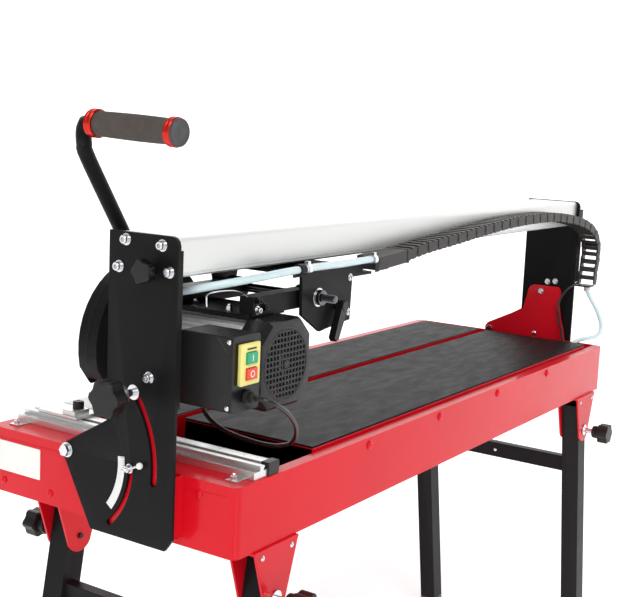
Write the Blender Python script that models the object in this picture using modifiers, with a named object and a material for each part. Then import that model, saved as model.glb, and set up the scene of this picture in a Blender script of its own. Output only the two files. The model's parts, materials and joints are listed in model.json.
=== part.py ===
"""Wet tile saw: a bridge saw on two folding leg pairs.

A water tray carries the table and the fence rail.  A guide beam spans the tray between two end plates,
which tilt together about the cut line for bevel cuts.  A carriage rolls along the beam on two wheel sets,
and the saw head swings down from it about a cross rod.  Metres, +Z up, +X along the cut.

Every place below is given on the bench: x from the tray's near end, y from its front, h above its rim.
"""
import math

import bmesh
import bpy
from mathutils import Matrix, Vector

# ---- Driving dimensions -------------------------------------------------------------------------------
GAP = 0.0003                      # clearance kept between pieces that touch
RIM_Z = 0.850                     # height of the tray's rim above the floor

TRAY_LENGTH = 1.590
TRAY_WIDTH = 0.550
TRAY_DEPTH = 0.115
SHEET = 0.003                     # tray sheet thickness
FLANGE = 0.022                    # width of the folded rim
DECK_END = 0.125                  # far edge of the deck that carries the fence rail

PIVOT_Y = 0.322                   # bevel axis and cut line
PIVOT_H = 0.007
TABLE_START, TABLE_END = 0.246, 1.535
TABLE_H = 0.0045                  # underside of the mats
MAT_TOP = 0.008
CUT_SLOT = 0.024

PLATE = 0.006                     # thickness of the end plates
NEAR_PLATE_X = -0.037             # outer face of the near end plate
FAR_PLATE_X = TRAY_LENGTH + GAP   # inner face of the far end plate
PLATE_FRONT, NEAR_PLATE_FRONT, PLATE_REAR, PLATE_TOP = 0.090, 0.0955, 0.236, 0.376
TRANSPORT_KNOB = (0.1445, 0.3215)     # (y, h) of the transport lock
LOCK_RADIUS, LOCK_ANGLE = 0.187, 40.0     # bevel lock stud, seen from the bevel axis
POINTER_RADIUS = 0.139

BEAM_FRONT, BEAM_REAR = 0.099, 0.226
BEAM_BOTTOM, BEAM_TOP = 0.314, 0.3745
BEAM_WALL, BEAM_SLOT = 0.005, 0.051

ROD_X, ROD_H, ROD_RADIUS = 0.285, 0.258, 0.008
CARRIAGE_NEAR, CARRIAGE_FAR = 0.235, 0.394
WHEEL_RADIUS = 0.017
WHEEL_X = (0.265, 0.365)

MOTOR_X, MOTOR_H = 0.145, 0.168
MOTOR_RADIUS = 0.068
FAN_COVER_HALF = 0.072
FAN_FACE_Y = 0.020
SHAFT_RADIUS = 0.0122
BLADE_RADIUS, BLADE_THICKNESS = 0.127, 0.0022
GUARD_RADIUS, GUARD_WIDTH, GUARD_WALL = 0.1405, 0.042, 0.0025
GUARD_FLOOR = -0.080              # below the blade axis

LEG, LEG_WALL, LEG_SPLAY = 0.045, 0.0025, 10.0
LEG_PIVOT_H = -0.207
LEG_PIVOT_FAR = 1.485
LEG_PIVOT_NEAR = TRAY_LENGTH - LEG_PIVOT_FAR
LUG_SEAT = LEG / 2 + 0.0055       # from the middle of a leg to its knob's seat
LEG_KNOB_REACH, BEVEL_KNOB_REACH = 0.068, 0.070
LEG_ROWS = {"front": 0.0225, "rear": 0.4595}     # y of each leg's middle

CHAIN_FRONT, CHAIN_REAR, CHAIN_HEIGHT = 0.042, 0.088, 0.025

# the outermost points of the saw, for an origin in the middle of its footprint
X_NEAREST, X_FARTHEST = NEAR_PLATE_X - BEVEL_KNOB_REACH, FAR_PLATE_X + PLATE + BEVEL_KNOB_REACH
Y_FRONT = LEG_ROWS["front"] - LUG_SEAT - LEG_KNOB_REACH
Y_REAR = LEG_ROWS["rear"] + LUG_SEAT + LEG_KNOB_REACH
MID_X, MID_Y = (X_NEAREST + X_FARTHEST) / 2, (Y_FRONT + Y_REAR) / 2

# direction of each local axis for an outline that is extruded along x or y
FACING = {"x": Matrix(((0, 0, 1), (1, 0, 0), (0, 1, 0))), "y": Matrix(((1, 0, 0), (0, 0, -1), (0, 1, 0)))}
SIDES = 28


def at(x, y, h):
    """World place of a point on the bench."""
    return Vector((x - MID_X, y - MID_Y, RIM_Z + h))


# ---- Scene and materials ------------------------------------------------------------------------------
for old in list(bpy.data.objects):
    bpy.data.objects.remove(old, do_unlink=True)
PARTS = bpy.data.collections.new("wet_tile_saw")
CUTTERS = bpy.data.collections.new("cutters")
for collection in (PARTS, CUTTERS):
    bpy.context.scene.collection.children.link(collection)


def finish(name, colour, roughness, metallic=0.0):
    made = bpy.data.materials.new(name)
    made.use_nodes = True
    shader = made.node_tree.nodes["Principled BSDF"]
    shader.inputs["Base Color"].default_value = (*colour, 1.0)
    shader.inputs["Roughness"].default_value = roughness
    shader.inputs["Metallic"].default_value = metallic
    return made


RED = finish("red_enamel", (0.72, 0.006, 0.018), 0.30)
BLACK = finish("black_powder_coat", (0.012, 0.011, 0.012), 0.45)
ALUMINIUM = finish("satin_aluminium", (0.72, 0.73, 0.74), 0.38, 1.0)
ZINC = finish("zinc_steel", (0.62, 0.62, 0.60), 0.30, 1.0)
MAT = finish("mat_rubber", (0.020, 0.020, 0.021), 0.75)
PLASTIC = finish("black_plastic", (0.018, 0.017, 0.016), 0.40)
GRIP = finish("grip_rubber", (0.075, 0.060, 0.052), 0.70)
YELLOW = finish("yellow_plastic", (0.86, 0.80, 0.30), 0.40)
GREEN = finish("green_button", (0.03, 0.42, 0.20), 0.35)
STOP_RED = finish("red_button", (0.80, 0.07, 0.02), 0.35)
HOSE = finish("clear_hose", (0.62, 0.76, 0.80), 0.25)
STEEL = finish("blade_steel", (0.50, 0.51, 0.52), 0.28, 1.0)


# ---- Modelling helpers --------------------------------------------------------------------------------
def add(name, mesh, material=None):
    """A mesh as a named part, or as a hidden cutter when it has no material."""
    thing = bpy.data.objects.new(name, mesh)
    if material:
        mesh.materials.clear()
        mesh.materials.append(material)
        mesh.shade_smooth()
        mesh.set_sharp_from_angle(angle=math.radians(30))
        PARTS.objects.link(thing)
    else:
        CUTTERS.objects.link(thing)
        thing.hide_render = True
        thing.display_type = "WIRE"
    return thing


def block(name, low, high, material=None):
    """A box between two bench points."""
    shape = bmesh.new()
    bmesh.ops.create_cube(shape, size=1.0)
    size = Vector(high) - Vector(low)
    middle = at(*((Vector(high) + Vector(low)) / 2))
    bmesh.ops.transform(shape, matrix=Matrix.Translation(middle) @ Matrix.Diagonal((*size, 1.0)), verts=shape.verts)
    mesh = bpy.data.meshes.new(name)
    shape.to_mesh(mesh)
    shape.free()
    return add(name, mesh, material)


def cylinder(name, start, end, radius, material=None, sides=SIDES):
    """A round bar between two bench points."""
    start, end = at(*start), at(*end)
    along = end - start
    turn = along.to_track_quat("Z", "Y").to_matrix().to_4x4()
    shape = bmesh.new()
    bmesh.ops.create_cone(shape, cap_ends=True, segments=sides, radius1=radius, radius2=radius,
                          depth=along.length, matrix=Matrix.Translation((start + end) / 2) @ turn)
    mesh = bpy.data.meshes.new(name)
    shape.to_mesh(mesh)
    shape.free()
    return add(name, mesh, material)


def turned(name, start, toward, profile, material=None, sides=SIDES):
    """A turned piece: (distance along the axis, radius) pairs, outer side first, from the far end back."""
    mesh = bpy.data.meshes.new(name)
    points = [(radius, 0.0, along) for along, radius in profile]
    closed = profile[0][1] > 0.0
    edges = [(i, i + 1) for i in range(len(points) - 1)]
    if closed:
        edges.append((len(points) - 1, 0))
    mesh.from_pydata(points, edges, [])
    thing = add(name, mesh, material)
    thing.matrix_world = Matrix.Translation(at(*start)) @ Vector(toward).to_track_quat("Z", "Y").to_matrix().to_4x4()
    screw = thing.modifiers.new("turn", "SCREW")
    screw.steps = screw.render_steps = sides
    screw.use_merge_vertices = True
    screw.merge_threshold = 0.00001
    screw.use_smooth_shade = True
    return thing


def solid_from_curve(name, curve, matrix, material=None):
    """The evaluated curve as a closed mesh."""
    guide = bpy.data.objects.new(name + "_guide", curve)
    guide.matrix_world = matrix
    PARTS.objects.link(guide)
    bpy.context.view_layer.update()
    mesh = bpy.data.meshes.new_from_object(guide.evaluated_get(bpy.context.evaluated_depsgraph_get()))
    shape = bmesh.new()
    shape.from_mesh(mesh)
    bmesh.ops.remove_doubles(shape, verts=shape.verts, dist=0.00001)
    shape.to_mesh(mesh)
    shape.free()
    bpy.data.objects.remove(guide)
    thing = add(name, mesh, material)
    thing.matrix_world = matrix
    return thing


def profile_plate(name, facing, outline, low, high, material=None):
    """A flat outline extruded along x or y: (y, h) points for x, (x, h) points for y."""
    curve = bpy.data.curves.new(name, "CURVE")
    curve.dimensions = "2D"
    curve.fill_mode = "BOTH"
    curve.extrude = (high - low) / 2
    spline = curve.splines.new("POLY")
    spline.points.add(len(outline) - 1)
    for point, (across, up) in zip(spline.points, outline):
        point.co = (across, up, 0.0, 1.0)
    spline.use_cyclic_u = True
    middle = (low + high) / 2
    place = at(middle, 0.0, 0.0) if facing == "x" else at(0.0, middle, 0.0)
    return solid_from_curve(name, curve, Matrix.Translation(place) @ FACING[facing].to_4x4(), material)


def tube(name, route, radius, material, resolution=2, spacing=None):
    """A round bar or cord along a smooth curve through the route's bench points."""
    points = smooth_route(route, spacing) if spacing else route
    curve = bpy.data.curves.new(name, "CURVE")
    curve.dimensions = "3D"
    curve.bevel_depth = radius
    curve.bevel_resolution = resolution
    curve.use_fill_caps = True
    spline = curve.splines.new("POLY")
    spline.points.add(len(points) - 1)
    for point, place in zip(spline.points, points):
        point.co = (*at(*place), 1.0)
    return solid_from_curve(name, curve, Matrix.Identity(4), material)


def smooth_route(route, spacing):
    """Points about a spacing apart on a Catmull-Rom curve through the route."""
    nodes = [Vector(point) for point in route]
    nodes = [2 * nodes[0] - nodes[1]] + nodes + [2 * nodes[-1] - nodes[-2]]
    smooth = []
    for before, start, end, after in zip(nodes, nodes[1:], nodes[2:], nodes[3:]):
        steps = max(1, round((end - start).length / spacing))
        for step in range(steps):
            t = step / steps
            smooth.append(0.5 * (2 * start + (end - before) * t
                                 + (2 * before - 5 * start + 4 * end - after) * t * t
                                 + (3 * start - 3 * end + after - before) * t ** 3))
    return smooth + [nodes[-2]]


def arc(centre, radius, first, last, count):
    """Points on an arc, angles in degrees anticlockwise."""
    angles = [math.radians(first + (last - first) * i / (count - 1)) for i in range(count)]
    return [(centre[0] + radius * math.cos(a), centre[1] + radius * math.sin(a)) for a in angles]


def combine(thing, other, operation):
    modifier = thing.modifiers.new(operation.lower(), "BOOLEAN")
    modifier.operation = operation
    modifier.object = other
    modifier.solver = "EXACT"


def cut(thing, *cutters):
    for cutter in cutters:
        combine(thing, cutter, "DIFFERENCE")


def join(thing, *others):
    for other in others:
        combine(thing, other, "UNION")


def hang_on(name, pivot, *things):
    """Parents pieces to an empty on their joint's axis."""
    holder = bpy.data.objects.new(name, None)
    holder.location = at(*pivot)
    PARTS.objects.link(holder)
    bpy.context.view_layer.update()
    for thing in things:
        thing.parent = holder
        thing.matrix_parent_inverse = holder.matrix_world.inverted()


def about_pivot(radius, angle):
    """(y, h) of a point seen from the bevel axis: 0 degrees points to the front, 90 up."""
    turn = math.radians(angle)
    return PIVOT_Y - radius * math.cos(turn), PIVOT_H + radius * math.sin(turn)


def arc_slot(name, radius, half_width, first, last, low, high):
    """Cutter for an arc slot about the bevel axis, with round ends."""
    pivot = (PIVOT_Y, PIVOT_H)
    outer = arc(pivot, radius + half_width, 180 - first, 180 - last, 14)
    inner = arc(pivot, radius - half_width, 180 - last, 180 - first, 14)
    end = arc(about_pivot(radius, last), half_width, 180 - last, 360 - last, 7)[1:-1]
    start = arc(about_pivot(radius, first), half_width, -first, 180 - first, 7)[1:-1]
    return profile_plate(name, "x", outer + end + inner + start, low, high)


def lobed_outline(centre, radius, lobes, depth):
    """Outline of a star knob."""
    points = []
    for i in range(lobes * 6):
        turn = 2 * math.pi * i / (lobes * 6)
        reach = radius * (1 - depth + depth * math.cos(lobes * turn))
        points.append((centre[0] + reach * math.cos(turn), centre[1] + reach * math.sin(turn)))
    return points


# ---- Tray, table and fence ----------------------------------------------------------------------------
def water_tray():
    tray = block("water_tray", (0, 0, -TRAY_DEPTH), (TRAY_LENGTH, TRAY_WIDTH, 0), RED)
    basin = block("tray_basin", (SHEET, SHEET, SHEET - TRAY_DEPTH),
                  (TRAY_LENGTH - SHEET, TRAY_WIDTH - SHEET, -SHEET))
    mouth = block("tray_mouth", (DECK_END, FLANGE, -0.010), (TRAY_LENGTH - SHEET, TRAY_WIDTH - FLANGE, 0.010))
    cut(tray, basin, mouth)


def table():
    """Two steel shelves with rubber mats, one on each side of the cut line."""
    sides = {"front": (FLANGE + 0.006, PIVOT_Y - CUT_SLOT / 2), "rear": (PIVOT_Y + CUT_SLOT / 2, 0.508)}
    for side, (front, rear) in sides.items():
        shelf = block("table_" + side, (TABLE_START, front, -0.060), (TABLE_END, rear, TABLE_H - GAP), RED)
        hollow = block("table_hollow_" + side, (TABLE_START - 0.01, front + SHEET, -0.070),
                       (TABLE_END + 0.01, rear - SHEET, TABLE_H - SHEET))
        cut(shelf, hollow)
        block("mat_" + side, (TABLE_START, front, TABLE_H), (TABLE_END, rear, MAT_TOP), MAT)


def fence():
    """Rail across the near end, with a sliding stop and its thumb screw."""
    rail_near, rail_far, rail_top = 0.048, 0.108, 0.020
    profile_plate("fence_rail", "y",
                  [(rail_near, GAP), (rail_far, GAP), (rail_far, rail_top), (0.084, rail_top),
                   (0.084, 0.012), (0.078, 0.012), (0.078, rail_top), (0.064, rail_top),
                   (0.064, 0.013), (rail_near, 0.013)], 0.004, TRAY_WIDTH - 0.016, ALUMINIUM)
    stop = block("fence_stop", (0.065, 0.405, rail_top + GAP), (0.205, 0.500, rail_top + 0.0055), ALUMINIUM)
    ruler = block("stop_ruler", (0.190, 0.395, 0.010), (0.205, 0.500, 0.034))
    boss = block("stop_boss", (0.068, 0.412, rail_top + 0.004), (0.104, 0.442, rail_top + 0.014))
    key = block("stop_key", (0.0785, 0.410, 0.0125), (0.0835, 0.495, rail_top + 0.002))
    screw_hole = cylinder("stop_screw_hole", (0.092, 0.427, 0.0245), (0.092, 0.427, 0.060), 0.0033)
    join(stop, ruler, boss, key)
    cut(stop, screw_hole)
    knob = turned("fence_knob", (0.092, 0.427, 0.0255), (0, 0, 1),
                  [(0.022, 0.0), (0.022, 0.0075), (0.021, 0.009), (0.0105, 0.009), (0.009, 0.0075),
                   (0.009, 0.003), (0.0, 0.003), (0.0, 0.0)], PLASTIC)
    hang_on("fence_slide_axis", (0.092, 0.427, 0.0), stop)
    hang_on("fence_knob_axis", (0.092, 0.427, 0.0), knob)


def water_pump():
    pump = block("water_pump", (1.415, 0.100, SHEET - TRAY_DEPTH + GAP), (1.490, 0.160, -0.064), PLASTIC)
    join(pump, cylinder("pump_outlet", (1.480, 0.115, -0.083), (1.503, 0.115, -0.083), 0.008),
         cylinder("pump_gland", (1.480, 0.145, -0.083), (1.500, 0.145, -0.083), 0.006))


# ---- Bevel frame --------------------------------------------------------------------------------------
def bracket_outline(bottom):
    """(y, h) outline of a tilt bracket, a bell on a foot that reaches back to the bevel axis."""
    return [(0.104, bottom), (0.104, 0.004), (0.110, 0.034), (0.118, 0.058), (0.1245, 0.096), (0.1225, 0.125),
            (0.1245, 0.137), (0.131, 0.1435), (0.200, 0.1435), (0.210, 0.139), (0.216, 0.129), (0.2195, 0.110),
            (0.229, 0.073), (0.330, 0.022), (0.337, 0.012), (0.337, bottom)]


def tilt_brackets():
    """Red brackets bolted to the tray's ends, which carry the bevel axis and the lock studs."""
    near = profile_plate("tilt_bracket_near", "x", bracket_outline(-0.100), -0.0305, -0.0265, RED)
    join(near, block("near_bracket_front_web", (-0.0275, 0.1043, -0.0990), (-GAP, 0.1083, 0.0)),
         block("near_bracket_rear_web", (-0.0275, 0.3327, -0.0990), (-GAP, 0.3367, 0.0)),
         block("near_bracket_foot", (-0.0278, 0.1050, -0.0997), (-0.0005, 0.3360, -0.0960)))
    far = profile_plate("tilt_bracket_far", "x", bracket_outline(-0.100), 1.5827, 1.5867, RED)
    join(far, block("far_bracket_foot", (1.5600, 0.1043, -0.0997), (1.5837, 0.3367, -0.0960)))
    lock = about_pivot(LOCK_RADIUS, LOCK_ANGLE)
    for part, low, high, side in ((near, -0.035, -0.020, "near"), (far, 1.575, 1.600, "far")):
        cut(part, cylinder(side + "_bracket_pivot_hole", (low, PIVOT_Y, PIVOT_H), (high, PIVOT_Y, PIVOT_H), 0.0055),
            cylinder(side + "_bracket_lock_hole", (low, *lock), (high, *lock), 0.0055))


def plate_outline(front, bottom):
    """(y, h) outline of an end plate, widened at its foot to take the bevel axis."""
    corner = arc((front + 0.014, PLATE_TOP - 0.014), 0.014, 180, 90, 4)
    pivot = arc((PIVOT_Y - 0.002, PIVOT_H), 0.014, 55, -25, 5)
    return [(front, bottom + 0.02), *corner, (PLATE_REAR, PLATE_TOP), (PLATE_REAR, 0.072),
            *pivot, (0.268, bottom), (0.110, bottom)]


def end_plates():
    low, high = NEAR_PLATE_X, NEAR_PLATE_X + PLATE
    near = profile_plate("near_end_plate", "x", plate_outline(NEAR_PLATE_FRONT, -0.115), low, high, BLACK)
    flange = high - 0.001
    join(near, block("near_front_flange", (flange, NEAR_PLATE_FRONT, 0.112),
                     (-0.0255, NEAR_PLATE_FRONT + 0.003, 0.355)),
         block("near_rear_flange", (flange, PLATE_REAR - 0.003, 0.165), (-0.0065, PLATE_REAR, 0.370)))
    far_low, far_high = FAR_PLATE_X, FAR_PLATE_X + PLATE
    far = profile_plate("far_end_plate", "x", plate_outline(PLATE_FRONT, -0.085), far_low, far_high, BLACK)
    join(far, block("chain_anchor", (far_high - 0.001, 0.050, 0.1500), (1.633, 0.103, 0.154)),
         block("chain_anchor_web", (far_high - 0.001, 0.099, 0.135), (1.615, 0.103, 0.154)),
         block("far_front_flange", (far_high - 0.001, PLATE_FRONT, 0.160), (1.618, PLATE_FRONT + 0.003, 0.355)))
    for part, first, last, side in ((near, low - 0.01, high + 0.004, "near"),
                                    (far, far_low - 0.01, far_high + 0.004, "far")):
        cut(part, arc_slot(side + "_lock_slot", LOCK_RADIUS, 0.0062, LOCK_ANGLE, LOCK_ANGLE - 45.5, first, last),
            cylinder(side + "_plate_pivot_hole", (first, PIVOT_Y, PIVOT_H), (last, PIVOT_Y, PIVOT_H), 0.0055))
    cut(near, arc_slot("pointer_slot", POINTER_RADIUS, 0.005, -2, -47, low - 0.01, high + 0.004),
        cylinder("transport_hole", (low - 0.01, *TRANSPORT_KNOB), (high + 0.004, *TRANSPORT_KNOB), 0.0045))


def pivot_bolts():
    """Shoulder bolts through a bracket and its end plate, with a nut inside."""
    head, radius, shoulder = 0.007, 0.0085, 0.005
    for side, start, toward, length in (("near", -0.0192, (-1, 0, 0), 0.0111), ("far", 1.5754, (1, 0, 0), 0.0142)):
        end = head + length
        turned("pivot_bolt_" + side, (start, PIVOT_Y, PIVOT_H), toward,
               [(end + head, 0.0), (end + head, radius), (end, radius), (end, shoulder), (head, shoulder),
                (head, radius), (0.0, radius), (0.0, 0.0)], ZINC, sides=20)


def guide_beam():
    """Extruded beam, open below along a slot for the carriage."""
    middle = (BEAM_FRONT + BEAM_REAR) / 2
    wall, half = BEAM_WALL, BEAM_SLOT / 2
    profile_plate("guide_beam", "x",
                  [(BEAM_FRONT, BEAM_BOTTOM), (middle - half, BEAM_BOTTOM), (middle - half, BEAM_BOTTOM + wall),
                   (BEAM_FRONT + wall, BEAM_BOTTOM + wall), (BEAM_FRONT + wall, BEAM_TOP - wall),
                   (BEAM_REAR - wall, BEAM_TOP - wall), (BEAM_REAR - wall, BEAM_BOTTOM + wall),
                   (middle + half, BEAM_BOTTOM + wall), (middle + half, BEAM_BOTTOM), (BEAM_REAR, BEAM_BOTTOM),
                   (BEAM_REAR, BEAM_TOP), (BEAM_FRONT, BEAM_TOP)],
                  NEAR_PLATE_X + PLATE + GAP, FAR_PLATE_X - GAP, ALUMINIUM)


def star_knob(name, facing, seat, outward, radius, stud_radius, stud_inside, reach):
    """Star knob with a turned hub and stud.  It stands on its seat and its stud goes inside."""
    x, y, h = seat
    start = reach - 0.026
    away = Vector(outward)
    low = Vector(seat) + away * start
    high = Vector(seat) + away * reach
    centre = (y, h) if facing == "x" else (x, h)
    ends = sorted((low.x, high.x)) if facing == "x" else sorted((low.y, high.y))
    knob = profile_plate(name, facing, lobed_outline(centre, radius, 6, 0.09), *ends, PLASTIC)
    stem = turned(name + "_stem", seat, outward,
                  [(start + 0.002, 0.0), (start + 0.002, 0.016), (start - 0.016, 0.016), (start - 0.018, 0.012),
                   (start - 0.018, stud_radius), (-stud_inside, stud_radius), (-stud_inside, 0.0)], sides=24)
    join(knob, stem)
    return knob


def bevel_knobs():
    lock = about_pivot(LOCK_RADIUS, LOCK_ANGLE)
    near_seat, far_seat = (NEAR_PLATE_X, *lock), (FAR_PLATE_X + PLATE, *lock)
    near = star_knob("bevel_knob_near", "x", near_seat, (-1, 0, 0), 0.031, 0.0048, 0.012, BEVEL_KNOB_REACH)
    far = star_knob("bevel_knob_far", "x", far_seat, (1, 0, 0), 0.031, 0.0048, 0.014, BEVEL_KNOB_REACH)
    hang_on("bevel_knob_near_axis", near_seat, near)
    hang_on("bevel_knob_far_axis", far_seat, far)
    seat = (NEAR_PLATE_X, *TRANSPORT_KNOB)
    transport = profile_plate("transport_knob", "x", lobed_outline(seat[1:], 0.0195, 5, 0.10),
                              NEAR_PLATE_X - 0.030, NEAR_PLATE_X - 0.014, PLASTIC)
    join(transport, turned("transport_stem", seat, (-1, 0, 0),
                           [(0.016, 0.0), (0.016, 0.010), (0.004, 0.010), (0.004, 0.004), (-0.020, 0.004),
                            (-0.020, 0.0)], sides=20))
    hang_on("transport_knob_axis", seat, transport)


def chain_middle():
    """Middle line of the drag chain from the carriage round to its fixed end, (x, h)."""
    return [(0.462, 0.302), (0.545, 0.307), (0.658, 0.320), (0.781, 0.329), (0.915, 0.340), (1.064, 0.3495),
            (1.230, 0.3525), (1.338, 0.349), (1.470, 0.334), (1.565, 0.311), (1.614, 0.282), (1.6315, 0.250),
            (1.629, 0.220), (1.620, 0.185), (1.618, 0.1575)]


def drag_chain():
    line = [Vector((x, h, 0.0)) for x, h in chain_middle()]
    middle = smooth_route(line, 0.035)
    upper, lower = [], []
    for i, point in enumerate(middle):
        along = (middle[min(i + 1, len(middle) - 1)] - middle[max(i - 1, 0)]).normalized()
        side = Vector((-along.y, along.x, 0.0)) * CHAIN_HEIGHT / 2
        upper.append((point + side).to_2d().to_tuple())
        lower.append((point - side).to_2d().to_tuple())
    profile_plate("drag_chain", "y", upper + lower[::-1], CHAIN_FRONT, CHAIN_REAR, PLASTIC)


# ---- Carriage -----------------------------------------------------------------------------------------
def carriage():
    top, under = 0.306, 0.298
    body = block("carriage", (CARRIAGE_NEAR, 0.056, under), (CARRIAGE_FAR, 0.262, top), BLACK)
    neck = block("carriage_neck", (0.245, 0.142, top - 0.001), (0.385, 0.183, 0.347))
    front = profile_plate("front_cheek", "y",
                          [(0.235, under + 0.001), (0.238, 0.232), (0.295, 0.197), (0.318, 0.200), (0.392, 0.207),
                           (0.395, 0.284), (0.394, under + 0.001)], 0.056, 0.062)
    rear = profile_plate("rear_cheek", "y", [(0.245, under + 0.001), (0.262, 0.236), (0.308, 0.236),
                                             (0.325, under + 0.001)], 0.256, 0.262)
    chain_arm = block("chain_arm", (CARRIAGE_FAR - 0.001, 0.056, 0.2835), (0.4615, 0.092, 0.2885))
    chain_arm_web = block("chain_arm_web", (CARRIAGE_FAR - 0.001, 0.056, 0.2835), (0.430, 0.061, 0.304))
    join(body, neck, front, rear, chain_arm, chain_arm_web)
    cut(body, cylinder("rod_hole", (ROD_X, 0.040, ROD_H), (ROD_X, 0.290, ROD_H), ROD_RADIUS + GAP))
    for x in WHEEL_X:
        cut(body, cylinder(f"axle_hole_{x}", (x, 0.130, wheel_height()), (x, 0.195, wheel_height()), 0.0044))
    cut(body, cylinder("lever_hole", (0.345, 0.050, 0.238), (0.345, 0.070, 0.238), 0.0045))
    turned("plunge_rod", (ROD_X, 0.019, ROD_H), (0, 1, 0),
           [(0.253, 0.0), (0.253, 0.013), (0.2435, 0.013), (0.2435, ROD_RADIUS), (0.0365, ROD_RADIUS),
            (0.0365, 0.0135), (0.026, 0.0135), (0.026, 0.006), (0.0, 0.006), (0.0, 0.0)], ZINC)
    lever = turned("clamp_lever", (0.345, 0.070, 0.238), (0, -1, 0),
                   [(0.034, 0.0), (0.034, 0.009), (0.0145, 0.009), (0.0145, 0.004), (0.0, 0.004), (0.0, 0.0)],
                   PLASTIC, sides=20)
    join(lever, profile_plate("lever_arm", "y", [(0.338, 0.247), (0.352, 0.247), (0.350, 0.225), (0.329, 0.182),
                                                 (0.321, 0.178), (0.315, 0.185)], 0.037, 0.050))
    hang_on("clamp_lever_axis", (0.345, 0.055, 0.238), lever)


def wheel_height():
    return BEAM_BOTTOM + BEAM_WALL + GAP + WHEEL_RADIUS


def wheel_sets():
    """Two axles through the carriage's neck, with a wheel at each end."""
    for name, x in zip(("wheel_set_near", "wheel_set_far"), WHEEL_X):
        wheels = turned(name, (x, 0.112, wheel_height()), (0, 1, 0),
                        [(0.101, 0.0), (0.101, WHEEL_RADIUS - 0.001), (0.100, WHEEL_RADIUS), (0.080, WHEEL_RADIUS),
                         (0.079, WHEEL_RADIUS - 0.001), (0.079, 0.004), (0.022, 0.004), (0.022, WHEEL_RADIUS - 0.001),
                         (0.021, WHEEL_RADIUS), (0.001, WHEEL_RADIUS), (0.0, WHEEL_RADIUS - 0.001), (0.0, 0.0)],
                        PLASTIC)
        hang_on(name + "_axis", (x, 0.1625, wheel_height()), wheels)


# ---- Saw head -----------------------------------------------------------------------------------------
def motor():
    axis = (MOTOR_X, 0.0, MOTOR_H)
    housing = turned("motor_housing", axis, (0, 1, 0),
                     [(0.235, MOTOR_RADIUS), (0.0685, MOTOR_RADIUS), (0.0685, 0.0135), (0.0765, 0.0135),
                      (0.0765, 0.043), (0.235, 0.043)], ALUMINIUM, sides=40)
    join(housing, cylinder("motor_gland", (MOTOR_X, 0.190, MOTOR_H - MOTOR_RADIUS + 0.006),
                           (MOTOR_X, 0.190, MOTOR_H - MOTOR_RADIUS - 0.014), 0.009))
    shield = turned("end_shield", axis, (0, 1, 0),
                    [(0.3007, 0.045), (0.248, 0.045), (0.245, MOTOR_RADIUS + 0.001), (0.2353, MOTOR_RADIUS + 0.001),
                     (0.2353, 0.0135), (0.3007, 0.0135)], ALUMINIUM, sides=40)
    join(shield, block("handle_lug", (0.085, 0.2480, 0.203), (0.140, 0.2680, 0.2165)))
    turned("motor_shaft", axis, (0, 1, 0),
           [(0.3390, 0.0), (0.3390, SHAFT_RADIUS), (0.215, SHAFT_RADIUS), (0.215, 0.0385), (0.090, 0.0385),
            (0.090, SHAFT_RADIUS), (0.030, SHAFT_RADIUS), (0.030, 0.0)], STEEL)


def fan_cover():
    half, corner = FAN_COVER_HALF, 0.030
    def octagon(size, chamfer):
        turns = [(-size, -size + chamfer), (-size + chamfer, -size), (size - chamfer, -size), (size, -size + chamfer),
                 (size, size - chamfer), (size - chamfer, size), (-size + chamfer, size), (-size, size - chamfer)]
        return [(MOTOR_X + across, MOTOR_H + up) for across, up in turns]
    cover = profile_plate("fan_cover", "y", octagon(half, corner), FAN_FACE_Y, 0.0682, PLASTIC)
    inside = profile_plate("fan_cover_inside", "y", octagon(half - 0.003, corner - 0.001), FAN_FACE_Y + 0.003, 0.075)
    cut(cover, inside)
    for i in range(-4, 5):
        middle = MOTOR_H + i * 0.0115
        reach = math.sqrt(0.055 ** 2 - (middle - MOTOR_H) ** 2)
        cut(cover, block(f"grille_slot_{i + 4}", (MOTOR_X - reach, FAN_FACE_Y - 0.002, middle - 0.0030),
                         (MOTOR_X + reach, FAN_FACE_Y + 0.004, middle + 0.0030)))


def cooling_fan():
    """Hub with six straight blades, on the shaft inside the fan cover."""
    fan = turned("cooling_fan", (MOTOR_X, 0.034, MOTOR_H), (0, 1, 0),
                 [(0.022, 0.022), (0.0, 0.022), (0.0, 0.0128), (0.022, 0.0128)], PLASTIC, sides=24)
    for i in range(6):
        vane = block(f"fan_vane_{i}", (MOTOR_X + 0.018, 0.0345, MOTOR_H - 0.0015),
                     (MOTOR_X + 0.054, 0.0555, MOTOR_H + 0.0015))
        centre = at(MOTOR_X, 0.0, MOTOR_H)
        turn = Matrix.Rotation(i * math.pi / 3, 4, "Y")
        vane.matrix_world = Matrix.Translation(centre) @ turn @ Matrix.Translation(-centre)
        join(fan, vane)


def switch_gear():
    box = block("switch_box", (0.004, FAN_FACE_Y, 0.112), (MOTOR_X - FAN_COVER_HALF - GAP, 0.123, 0.229), PLASTIC)
    join(box, turned("switch_gland", (0.040, FAN_FACE_Y + 0.002, 0.134), (0, -1, 0),
                     [(0.020, 0.0), (0.020, 0.0062), (0.012, 0.0085), (0.0, 0.0085), (0.0, 0.0)], sides=16))
    plate = block("switch_plate", (0.0165, 0.0117, 0.1545), (0.0625, FAN_FACE_Y - GAP, 0.2170), YELLOW)
    buttons = {"start_button": (0.1865, 0.2040, GREEN), "stop_button": (0.1620, 0.1795, STOP_RED)}
    for name, (low, high, material) in buttons.items():
        cut(plate, block(name + "_window", (0.0270, 0.005, low - 0.0006), (0.0540, 0.025, high + 0.0006)))
        button = block(name, (0.0276, 0.0085, low), (0.0534, 0.0155, high), material)
        hang_on(name + "_axis", (0.0405, 0.0085, (low + high) / 2), button)


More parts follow.
